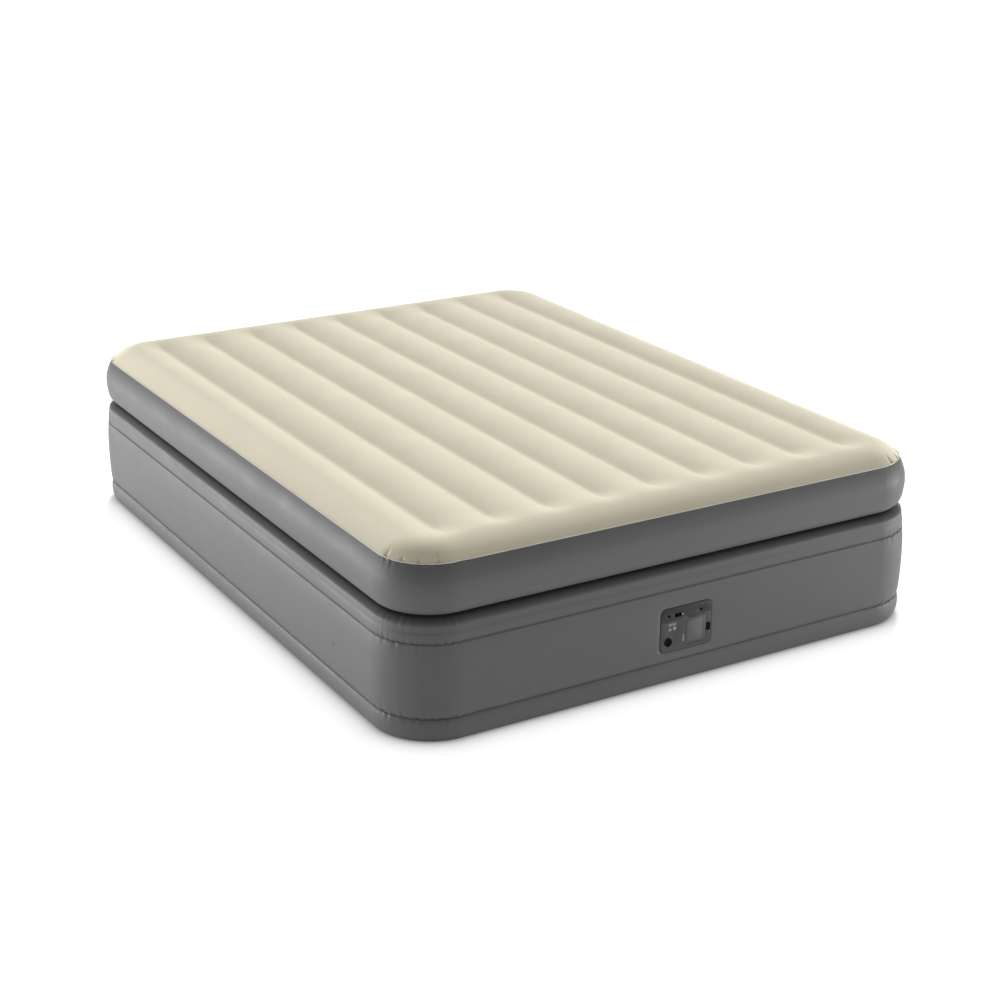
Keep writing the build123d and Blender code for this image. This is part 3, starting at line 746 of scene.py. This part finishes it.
def top_sheet():
    """The flocked top: rounded border, ribs with soft groove ends and small corner pleats."""
    half_x, half_y = HALF_X - SEAM_INSET, HALF_Y - SEAM_INSET
    radius = CORNER - SEAM_INSET
    xs = graded(half_x, (0.10, 0.0031), 0.0073)
    ys = graded(half_y, (0.10, 0.0031), (0.25, 0.007), 0.018)
    x, y, inset = rounded_grid(half_x, half_y, radius, xs, ys)
    t = np.clip(inset / sizes().border, 0, 1)
    rise = TOP_Z - SEAM_Z
    height = SEAM_Z + rise * (1 - (1 - t) ** BORDER_POWER)
    inner = fade((inset - GROOVES_FROM_SEAM) / 0.06)
    grooves = groove_shape(x, y) * inner
    height = height - sizes().rib_depth * grooves
    points = np.dstack([x, y, height]).reshape(-1, 3)
    uvs = np.dstack([x, y]).reshape(-1, 2)
    piece = mesh_object("top_sheet_flocked", points, grid_faces(len(xs), len(ys)), "flock", uvs)
    held = np.maximum(fade((grooves - 0.55) / 0.35), inset < 0.003)
    inflate(piece, held.ravel(), SWELL_CAP)
    gather(piece, corner_pleats(x, y, inset).ravel())
    thicken(piece, sizes().skin)
    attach(piece, "bed")
    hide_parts("top_sheet")
    return piece


# ---- Side walls ----

def finish_wall(piece, node):
    """Puts a wall skin on the bed in place of its CAD node."""
    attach(piece, "bed")
    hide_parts(node)


def corner_creases(distance, bends, along, lines, wave, depth, seed):
    """Short creases that run up from a weld line where the wall turns a corner."""
    push = 0
    for number, (line, reach) in enumerate(lines):
        near = np.exp(-np.abs(along - line) / reach)
        push = push + depth * near * bends ** 2 * ripple(distance, wave, seed + number)
    return push


def wall_skin(name, profile, creases, pulled=0):
    """A wall with its corner creases (lines, wave, depth, seed), pulled in further where asked."""
    def dents(distance, bends, along):
        return corner_creases(distance, bends, along, *creases) + pulled

    return ring_sheet(name, profile, "wall", dents)


def upper_wall():
    profile = smooth_line([
        (SEAM_INSET, SEAM_Z), (0.0165, SEAM_Z - 0.018), (0.0090, SEAM_Z - 0.040), (0.0070, SEAM_Z - 0.060),
        (0.0078, SEAM_Z - 0.076), (0.0105, WAIST_Z + 0.0300), (0.0150, WAIST_Z + 0.0175),
        (0.0215, WAIST_Z + 0.0090), (0.0300, WAIST_Z + 0.0045), (0.0520, WAIST_Z + 0.0036),
    ], 44)
    piece = wall_skin("upper_chamber_wall", profile, (((0, 0.06), (1, 0.10)), 0.021, 0.0016, 3))
    finish_wall(piece, "upper_side_wall")


def shoulder():
    lip_z = WAIST_Z - 0.0190
    lip = smooth_line([
        (0.052, lip_z + 0.0150), (0.038, lip_z + 0.0158), (0.025, lip_z + 0.0140),
        (0.0150, lip_z + 0.0090), (0.0104, lip_z + 0.0040), (0.0094, lip_z),
    ], 18)
    band = smooth_line([
        (0.0094, lip_z), (0.0088, lip_z - 0.005), (0.0080, lip_z - 0.012), (0.0064, UPPER_PINCH_Z + 0.019),
        (0.0056, UPPER_PINCH_Z + 0.008), (PINCH_INSET + 0.0018, UPPER_PINCH_Z + 0.0009),
    ], 24)
    profile = np.vstack([lip, band[1:]])
    piece = wall_skin("shoulder_roll", profile, (((0.3, 0.10), (1, 0.16)), 0.017, 0.0012, 11))
    finish_wall(piece, "shoulder_wall")


WEB_INSET = 0.047
WEB_THICK = 0.0015


def web():
    """The sheet between the two chambers, whose rim shows deep in the gap; its vinyl is painted darker than
    the walls, as painted shade of the gap.
    """
    places, normals, _, _ = bed_outline(straight=0.05, corner=0.02)
    rim = places - normals * WEB_INSET
    count = len(rim)
    points = []
    for half in (-1, 1):
        points += [(x, y, WAIST_Z + half * WEB_THICK / 2) for x, y in rim]
    faces = [tuple(range(count))[::-1], tuple(range(count, 2 * count))]
    for i in range(count):
        j = (i + 1) % count
        faces.append((i, j, j + count, i + count))
    piece = mesh_object("gap_web", points, faces, "web", smooth=False)
    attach(piece, "bed")
    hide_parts("middle_sheet")


PANEL_GAP = 0.0013
PANEL_PULL = 0.014


def panel_reach(x, z):
    """Distance outside the pump's plate, on the foot wall; below zero inside it."""
    half_w = (PLATE_HIGH[0] - PLATE_LOW[0]) / 2
    half_h = (PLATE_HIGH[2] - PLATE_LOW[2]) / 2
    across = np.abs(x - PANEL_MIDDLE[0]) - (half_w - PANEL_CORNER)
    up = np.abs(z - PANEL_MIDDLE[2]) - (half_h - PANEL_CORNER)
    return np.hypot(np.maximum(across, 0), np.maximum(up, 0)) - PANEL_CORNER


def main_wall():
    """The tall lower wall, cut open round the pump and pulled flat beside it."""
    low, high = LOWER_PINCH_Z + 0.0009, UPPER_PINCH_Z - 0.0009
    middle = (low + high) / 2
    profile = smooth_line([
        (PINCH_INSET + 0.0018, high), (0.0040, high - 0.008), (0.0015, high - 0.030), (0.0002, middle + 0.03),
        (0.0000, middle - 0.01), (0.0010, low + 0.040), (0.0030, low + 0.012), (PINCH_INSET + 0.0030, low),
    ], 44)

    places, _, _, _ = bed_outline()
    at_foot = places[:, 1, None] < -HALF_Y + 0.001
    reach = panel_reach(places[:, 0, None], profile[None, :, 1])
    pulled = np.where(at_foot, np.exp(-np.maximum(reach, 0) / PANEL_PULL), 0)
    flat_inset = PLATE_LOW[1] + HALF_Y + PLATE_THICK / 2
    creases = (((0, 0.05), (1, 0.06)), 0.023, 0.0014, 21)
    piece = wall_skin("lower_chamber_wall", profile, creases, pulled * (flat_inset - profile[None, :, 0]))
    width, height = PLATE_HIGH[0] - PLATE_LOW[0], PLATE_HIGH[2] - PLATE_LOW[2]
    opening = round_outline(0, 0, width + 2 * PANEL_GAP, height + 2 * PANEL_GAP, PANEL_CORNER + PANEL_GAP)
    carve(piece, panel_prism("opening", opening, -0.03, 0.05, "wall"))
    finish_wall(piece, "main_side_wall")


def bottom_band():
    profile = smooth_line([
        (PINCH_INSET + 0.0030, LOWER_PINCH_Z - 0.0009), (0.0036, LOWER_PINCH_Z - 0.009), (0.0020, 0.036),
        (0.0034, 0.020), (0.0080, 0.008), (0.0145, 0.0012), (SOLE_INSET, 0.0),
    ], 24)
    piece = wall_skin("lower_edge_band", profile, (((0, 0.12),), 0.024, 0.0012, 31))
    finish_wall(piece, "bottom_band")


def bead(name, inset, z, radius, material, nodes):
    """A thin raised weld line round the bed."""
    count = 9
    angles = np.linspace(-math.pi / 2, math.pi / 2, count)
    profile = np.column_stack([inset - radius * np.cos(angles), z - radius * np.sin(angles)])
    piece = ring_sheet(name, profile, material, thickness=0.0008)
    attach(piece, "bed")
    for node in nodes:
        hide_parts(node)


def weld_ticks(name, inset, z, spacing, size, material):
    """The close cross marks that the welding tool leaves along a line."""
    places, normals, _, _ = bed_outline(straight=0.02, corner=0.004)
    line = places - normals * inset
    piece = blocks_along(name, [(x, y, z) for x, y in line], True, spacing, size, material)
    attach(piece, "bed")


def sole():
    """The flat underside, drawn up a little along the lower beams."""
    half_x, half_y = HALF_X - SOLE_INSET, HALF_Y - SOLE_INSET
    xs = graded(half_x, (0.10, 0.012), 0.012)
    ys = graded(half_y, (0.20, 0.014), 0.05)
    x, y, inset = rounded_grid(half_x, half_y, CORNER - SOLE_INSET, xs, ys)
    nearest = np.min(np.abs(x[..., None] - np.array(LOWER_BEAM_XS)), axis=-1)
    drawn = 0.0018 * np.exp(-(nearest / 0.018) ** 2) * fade((inset - 0.08) / 0.06)
    points = np.dstack([x, y, drawn]).reshape(-1, 3)
    uvs = np.dstack([x, y]).reshape(-1, 2)
    faces = [face[::-1] for face in grid_faces(len(xs), len(ys))]
    piece = mesh_object("sole_sheet", points, faces, "sole", uvs)
    thicken(piece, sizes().skin)
    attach(piece, "bed")
    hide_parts("bottom_sheet")


# ---- Pump panel ----

BROW_PROUD = 0.0005
MARK_PROUD = 0.00025
MARK_DEPTH = 0.0003
CUT = 0.01
SCREW_HEAD = 0.0032
WELL_RADIUS = 0.0046
BUTTON_HOLE = 0.0117
KNOB_MIDDLE = panel_place("selector_knob")
KNOB_SLOT = (KNOB_HIGH[0] - KNOB_LOW[0] + 0.0128, KNOB_HIGH[2] - KNOB_LOW[2] + 0.0008)


def screw_places():
    """The middle of each panel screw, across and up, from its own half of the screws' box."""
    low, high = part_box("panel_screws")
    w = panel_place("panel_screws")[1]
    return [(low[0] + SCREW_HEAD - PANEL_MIDDLE[0], w), (high[0] - SCREW_HEAD - PANEL_MIDDLE[0], w)]


def brow():
    """The dark strip across the top of the panel, with a dip over the lid."""
    half_w, half_h = (PLATE_HIGH[0] - PLATE_LOW[0]) / 2, (PLATE_HIGH[2] - PLATE_LOW[2]) / 2
    edge = 0.0012
    top = round_outline(0, 0, 2 * (half_w - edge), 2 * (half_h - edge), PANEL_CORNER - edge)
    upper = [point for point in top if point[1] > 0]
    lower = smooth_line([
        (edge - half_w, 0.0215), (-0.045, 0.0220), (-0.020, 0.0235), (-0.008, 0.0275), (0.001, 0.0280),
        (0.007, 0.0235), (0.014, 0.0212), (0.024, 0.0215), (0.040, 0.0255), (half_w - edge, 0.0275),
    ], 48)
    piece = panel_prism("panel_brow", upper + [tuple(point) for point in lower], -BROW_PROUD, 0.0004, "brow")
    for u, w in screw_places():
        carve(piece, panel_prism("well", circle_outline(u, w, WELL_RADIUS), -CUT, CUT, "brow"))
    u, w = KNOB_MIDDLE
    slot = round_outline(u, w, KNOB_SLOT[0], KNOB_SLOT[1], 0.0015)
    carve(piece, panel_prism("slot", slot, -CUT, CUT, "brow"))
    bevelled(piece, 0.00025)
    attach(piece, "bed")


def notch():
    """A flat black plate round the mouth of the finger notch: painted shade of its recess."""
    low, high = opening_box("finger_notch")
    mouth_u, mouth_w = (low[0] + high[0]) / 2 - PANEL_MIDDLE[0], (low[2] + high[2]) / 2 - PANEL_MIDDLE[2]
    left, right = LID_HIGH[0] + 0.0006 - PANEL_MIDDLE[0], PLATE_HIGH[0] - 0.0010 - PANEL_MIDDLE[0]
    outline = round_outline((left + right) / 2, mouth_w - 0.001, right - left, 0.0205, 0.0022)
    # Painted shade: a black plate stands for the dark inside the notch.
    piece = panel_prism("notch_painted_shadow", outline, -MARK_PROUD, MARK_DEPTH, "black")
    mouth = round_outline(mouth_u, mouth_w, high[0] - low[0] + 0.0008, high[2] - low[2] + 0.0006, 0.0006)
    carve(piece, panel_prism("mouth", mouth, -CUT, CUT, "black"))
    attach(piece, "bed")


def screw_heads():
    """Domed black screws with a cross recess, sunk in their wells; their black finish also paints the shade
    that fills the wells.
    """
    for number, (u, w) in enumerate(screw_places()):
        profile = [(0, 0.0004), (0.0012, 0.0005), (0.0024, 0.0008), (SCREW_HEAD, 0.0015),
                   (SCREW_HEAD, 0.0020), (0.0015, 0.0021), (0.0015, 0.0112), (0, 0.0120)]
        piece = turned_piece(f"panel_screw_{number + 1}", u, w, profile, "black", count=28)
        for size in ((0.0042, 0.0008), (0.0008, 0.0042)):
            recess = round_outline(u, w, *size, 0.0002, steps=2)
            carve(piece, panel_prism("recess", recess, -CUT, 0.0014, "black"))
        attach(piece, "bed")
        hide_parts("panel_screws")


def button():
    """The dished push button with its rim, flange and stem."""
    u, w = panel_place("power_button")
    front, back = BUTTON_LOW[1] - PLATE_LOW[1], BUTTON_HIGH[1] - PLATE_LOW[1]
    flange = (BUTTON_HIGH[0] - BUTTON_LOW[0]) / 2
    profile = [
        (0, front + 0.0012), (0.003, front + 0.00115), (0.006, front + 0.0009), (0.0084, front + 0.0003),
        (0.0092, front), (0.0101, front + 0.0001), (0.0107, front + 0.0006), (0.0110, front + 0.0014),
        (0.0110, 0.0034), (flange, 0.0034), (flange, 0.0046), (0.0032, 0.0046),
        (0.0030, back - 0.0005), (0.0025, back), (0, back),
    ]
    piece = turned_piece("push_button", u, w, profile, "black", count=64)
    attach(piece, "power_button")
    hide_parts("power_button")
    ring = [(0, 0.0006), (0.0118, 0.0006), (0.0118, -0.0002), (0.0124, -0.0006), (0.0134, -0.0006),
            (0.0140, -0.0001), (0.0140, 0.0006), (0, 0.0007)]
    rim = turned_piece("button_surround", u, w, ring, "panel", count=64)
    carve(rim, panel_prism("hole", circle_outline(u, w, BUTTON_HOLE, 64), -CUT, CUT, "panel"))
    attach(rim, "bed")


def selector():
    """The ribbed slider of the selector."""
    piece = cad_copy("selector_knob", "selector_slider", "black", 0.0003)
    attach(piece, "selector")


def lid():
    """The lid of the cord store with its raised label field and stiffening ribs."""
    piece = cad_copy("cord_store_lid", "cord_lid_cover", "lid", 0.0006)
    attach(piece, "cord_lid")
    left, right = LID_LOW[0] - PANEL_MIDDLE[0], LID_HIGH[0] - PANEL_MIDDLE[0]
    tall = LID_HIGH[2] - LID_LOW[2]
    middle_u, middle_w = panel_place("cord_store_lid")
    field = round_outline(middle_u - 0.002, middle_w + 0.001, 0.041, tall - 0.012, 0.003)
    label = panel_prism("lid_label", field, -MARK_PROUD, MARK_DEPTH, "label")
    bevelled(label, 0.00015)
    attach(label, "cord_lid")
    path = [on_panel(left + 0.012, middle_w, 0.0032), on_panel(right - 0.007, middle_w, 0.0032)]
    ribs = blocks_along("lid_ribs", path, False, 0.0095, (0.0012, 0.0018, tall - 0.016), "lid")
    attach(ribs, "cord_lid")


def marks():
    """Generic pale bars and a small arrow where the panel is printed."""
    bars = []
    for number in range(6):
        tall = 0.0072 - 0.0012 * (number % 2)
        bars.append(round_outline(-0.0490 + 0.0038 * number, 0.0140, 0.0021, tall, 0.0004, steps=2))
    bars.append([(-0.0510, -0.0010), (-0.0420, -0.0010), (-0.0465, 0.0075)])
    bars.append(round_outline(-0.0330, 0.0032, 0.0082, 0.0080, 0.0012, steps=3))
    beside_slot = KNOB_MIDDLE[0] + KNOB_SLOT[0] / 2 + 0.0030
    bars.append(round_outline(beside_slot, KNOB_MIDDLE[1], 0.0040, 0.0050, 0.0010, steps=3))
    bars.append([(-0.0110, -0.0350), (-0.0020, -0.0350), (-0.0050, -0.0320), (-0.0050, -0.0200),
                 (-0.0065, -0.0180), (-0.0080, -0.0200), (-0.0080, -0.0320)])
    proud = {8: BROW_PROUD + MARK_PROUD}
    pieces = []
    for number, outline in enumerate(bars):
        start = -proud.get(number, MARK_PROUD)
        pieces.append(panel_prism(f"mark_{number}", outline, start, MARK_DEPTH, "mark"))
    joined = join("panel_marks", pieces)
    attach(joined, "bed")


def join(name, pieces):
    """Several objects as one."""
    work = bmesh.new()
    for piece in pieces:
        work.from_mesh(piece.data)
    mesh = bpy.data.meshes.new(name)
    work.to_mesh(mesh)
    work.free()
    mesh.materials.append(pieces[0].data.materials[0])
    for piece in pieces:
        remove_object(piece)
    return new_object(name, mesh)


def face():
    """The panel's plate and the tray behind the lid, with softened edges."""
    plate = cad_copy("face_plate", "panel_face", "panel", 0.0006)
    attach(plate, "bed")
    tray = cad_copy("cord_tray", "cord_tray_shell", "tub", 0.0004)
    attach(tray, "bed")


# ---- Stage ----

CAMERA_PLACE = (-2.481, -4.319, 2.020)
CAMERA_YAW, CAMERA_PITCH, CAMERA_ROLL = math.radians(30.633), math.radians(-20.70), math.radians(0.194)
CAMERA_LENS = 68.6
# Name, kind, strength, place, target and size, which is an angle for the sun.
LIGHTS = (
    ("key", "SUN", 4.4, (6.5, 8.7, 7.2), (0, 0, 0), math.radians(18)),
    ("side_strip", "AREA", 195, (-4.2, 2.6, 0.10), (-0.4, 0.4, 0.20), (3.4, 0.20)),
    ("foot_strip", "AREA", 58, (3.4, -2.3, 0.20), (0.7, -1.0, 0.20), (0.8, 0.4)),
)
SKY = 0.37
FLOOR_REACH = 60
FLOOR_GAP = 0.0006
GLOW = 0.90
# Depth and reach of the painted contact shadow in the floor's glow.
PAINTED_SHADOW_SHARE = 0.72
PAINTED_SHADOW_REACH = 0.024


def point_light(name, kind, strength, place, target, size):
    data = bpy.data.lights.new(name, kind)
    data.energy = strength
    if kind == "AREA":
        data.shape = "RECTANGLE"
        data.size, data.size_y = size
    else:
        data.angle = size
    lamp = new_object(name, data)
    lamp.location = place
    lamp.visible_camera = False
    lamp.rotation_mode = "QUATERNION"
    lamp.rotation_quaternion = (Vector(target) - Vector(place)).to_track_quat("-Z", "Y")


def camera():
    """The camera, from its place, heading, tilt and roll."""
    yaw, pitch, roll = CAMERA_YAW, CAMERA_PITCH, CAMERA_ROLL
    ahead = Vector((math.sin(yaw) * math.cos(pitch), math.cos(yaw) * math.cos(pitch), math.sin(pitch)))
    side = ahead.cross(Vector((0, 0, 1))).normalized()
    up = side.cross(ahead)
    turned = math.cos(roll) * side + math.sin(roll) * up
    raised = -math.sin(roll) * side + math.cos(roll) * up
    data = bpy.data.cameras.new("camera")
    data.lens = CAMERA_LENS
    data.clip_end = 200
    made = new_object("camera", data)
    rows = Matrix((turned, raised, -ahead)).transposed()
    made.matrix_world = Matrix.Translation(CAMERA_PLACE) @ rows.to_4x4()
    bpy.context.scene.camera = made


def glow_with_painted_contact_shadow(tree):
    """The floor's own glow, dimmed where the bed meets it: a painted contact shadow."""
    flat = tree.operate("ABSOLUTE", tree.coords())
    beyond = tree.operate("SUBTRACT", flat, (HALF_X - CORNER, HALF_Y - CORNER, 100))
    outside = tree.operate("LENGTH", tree.operate("MAXIMUM", beyond, (0, 0, 0)))
    edge = CORNER - SOLE_INSET / 2
    # Painted contact shadow: the glow drops towards the bed's outline.
    painted_shadow_falloff = tree.spread(outside, edge, edge + PAINTED_SHADOW_REACH, 0, -1, clamp=False)
    return tree.reckon("MULTIPLY_ADD", tree.reckon("EXPONENT", painted_shadow_falloff), -GLOW * PAINTED_SHADOW_SHARE, GLOW)


def floor():
    """A wide pale floor that glows evenly, with a painted contact shadow round the bed."""
    tree = Tree("pale_floor")
    cloud = tree.noise(tree.coords(), 1.5, detail=3)
    tone = tree.blend(tree.spread(cloud, 0.3, 0.7), (0.40, 0.40, 0.40), (0.42, 0.42, 0.42))
    tree.link(glow_with_painted_contact_shadow(tree), tree.shader.inputs["Emission Strength"])
    MATERIALS["floor"] = tree.finish(tone, 0.9, Specular_IOR_Level=0.1, Emission_Color=(1, 1, 1, 1))
    MATERIALS["floor"].cycles.emission_sampling = "NONE"
    reach = FLOOR_REACH
    corners = [(-reach, -reach, 0), (reach, -reach, 0), (reach, reach, 0), (-reach, reach, 0)]
    ground = mesh_object("floor", corners, [(0, 1, 2, 3)], "floor", smooth=False)
    ground.location.z = -FLOOR_GAP


def lights():
    world = bpy.data.worlds.new("studio")
    world.use_nodes = True
    world.node_tree.nodes["Background"].inputs["Color"].default_value = (1, 1, 1, 1)
    world.node_tree.nodes["Background"].inputs["Strength"].default_value = SKY
    bpy.context.scene.world = world
    for light in LIGHTS:
        point_light(*light)
    bpy.context.scene.view_settings.view_transform = "Standard"


# ---- Operators ----

class AIRBED_OT_top(bpy.types.Operator):
    """Builds the flocked, ribbed top of the bed and inflates it"""
    bl_idname = "airbed.top"
    bl_label = "Top sheet"

    def execute(self, context):
        top_sheet()
        return {"FINISHED"}


class AIRBED_OT_walls(bpy.types.Operator):
    """Builds the walls of both chambers, the web between them and the sole"""
    bl_idname = "airbed.walls"
    bl_label = "Walls and sole"

    def execute(self, context):
        upper_wall()
        web()
        shoulder()
        main_wall()
        bottom_band()
        sole()
        return {"FINISHED"}


class AIRBED_OT_welds(bpy.types.Operator):
    """Builds the weld lines round the bed with their cross marks"""
    bl_idname = "airbed.welds"
    bl_label = "Weld lines"

    def execute(self, context):
        upper, lower = PINCH_INSET + 0.0022, PINCH_INSET + 0.0036
        bead("top_seam", SEAM_INSET + 0.0002, SEAM_Z, 0.0013, "seam", ["top_weld_bead"])
        bead("upper_pinch_line", upper, UPPER_PINCH_Z, 0.0011, "pinch", ["upper_belt"])
        bead("lower_pinch_line", lower, LOWER_PINCH_Z, 0.0011, "pinch", ["lower_belt"])
        size = (0.0012, 0.0006, 0.0016)
        weld_ticks("top_seam_ticks", SEAM_INSET - 0.0010, SEAM_Z, 0.0045, size, "seam")
        weld_ticks("upper_pinch_ticks", upper - 0.0010, UPPER_PINCH_Z, 0.0060, size, "pinch")
        weld_ticks("lower_pinch_ticks", lower - 0.0010, LOWER_PINCH_Z, 0.0060, size, "pinch")
        return {"FINISHED"}


class AIRBED_OT_panel_face(bpy.types.Operator):
    """Builds the pump's face: its plate, brow, printed marks and screws"""
    bl_idname = "airbed.panel_face"
    bl_label = "Pump face"

    def execute(self, context):
        face()
        brow()
        marks()
        notch()
        screw_heads()
        return {"FINISHED"}


class AIRBED_OT_controls(bpy.types.Operator):
    """Builds the button, the selector and the lid of the cord store"""
    bl_idname = "airbed.controls"
    bl_label = "Controls and lid"

    def execute(self, context):
        button()
        selector()
        lid()
        return {"FINISHED"}


CAD_FINISHES = {
    "rubber": ("weld_collar", "face_gasket", "cord_gland", "motor_magnets", "valve_seal"),
    "tub": ("pump_tub", "screw_bosses", "diverter_guide", "fan_housing", "outlet_duct", "valve_cage"),
    "black": ("power_switch", "diverter_shutter", "motor_end_cap", "terminal_block"),
    "steel": ("lid_hinge_pin", "button_spring", "motor_shaft", "valve_spring"),
    "plated": ("motor_can", "motor_armature"),
    "fan": ("impeller", "outlet_valve_disc"),
    "bronze": ("front_bearing", "rear_bearing"),
    "inner": [node for node in frame["nodes"] if node.startswith(("upper_beam", "lower_beam"))],
}


class AIRBED_OT_finishes(bpy.types.Operator):
    """Gives every carried-over part its finish"""
    bl_idname = "airbed.finishes"
    bl_label = "Part finishes"

    def execute(self, context):
        for finish, nodes in CAD_FINISHES.items():
            for node in nodes:
                for slot in frame["nodes"][node].material_slots:
                    slot.material = MATERIALS[finish]
        return {"FINISHED"}


class AIRBED_OT_stage(bpy.types.Operator):
    """Builds the floor, the lights and the camera"""
    bl_idname = "airbed.stage"
    bl_label = "Stage"

    def execute(self, context):
        camera()
        lights()
        floor()
        return {"FINISHED"}


class AIRBED_PT_panel(bpy.types.Panel):
    bl_label = "Airbed"
    bl_idname = "AIRBED_PT_panel"
    bl_space_type = "VIEW_3D"
    bl_region_type = "UI"
    bl_category = "Airbed"

    def draw(self, context):
        for group in (context.scene.airbed_sizes, context.scene.airbed_colours):
            for name in group.__annotations__:
                self.layout.prop(group, name)
        for operator in OPERATORS:
            self.layout.operator(operator.bl_idname)


GROUPS = (AirbedSizes, AirbedColours)
OPERATORS = (AIRBED_OT_stage, AIRBED_OT_top, AIRBED_OT_walls, AIRBED_OT_welds, AIRBED_OT_panel_face,
             AIRBED_OT_controls, AIRBED_OT_finishes)


def register():
    for kind in (*GROUPS, *OPERATORS, AIRBED_PT_panel):
        bpy.utils.register_class(kind)
    bpy.types.Scene.airbed_sizes = bpy.props.PointerProperty(type=AirbedSizes)
    bpy.types.Scene.airbed_colours = bpy.props.PointerProperty(type=AirbedColours)


def unregister():
    del bpy.types.Scene.airbed_colours
    del bpy.types.Scene.airbed_sizes
    for kind in reversed((*GROUPS, *OPERATORS, AIRBED_PT_panel)):
        bpy.utils.unregister_class(kind)


def main():
    register()
    MATERIALS.update(build_materials())
    bpy.ops.airbed.stage()
    bpy.ops.airbed.top()
    bpy.ops.airbed.walls()
    bpy.ops.airbed.welds()
    bpy.ops.airbed.panel_face()
    bpy.ops.airbed.controls()
    bpy.ops.airbed.finishes()


if __name__ == "__main__":
    main()
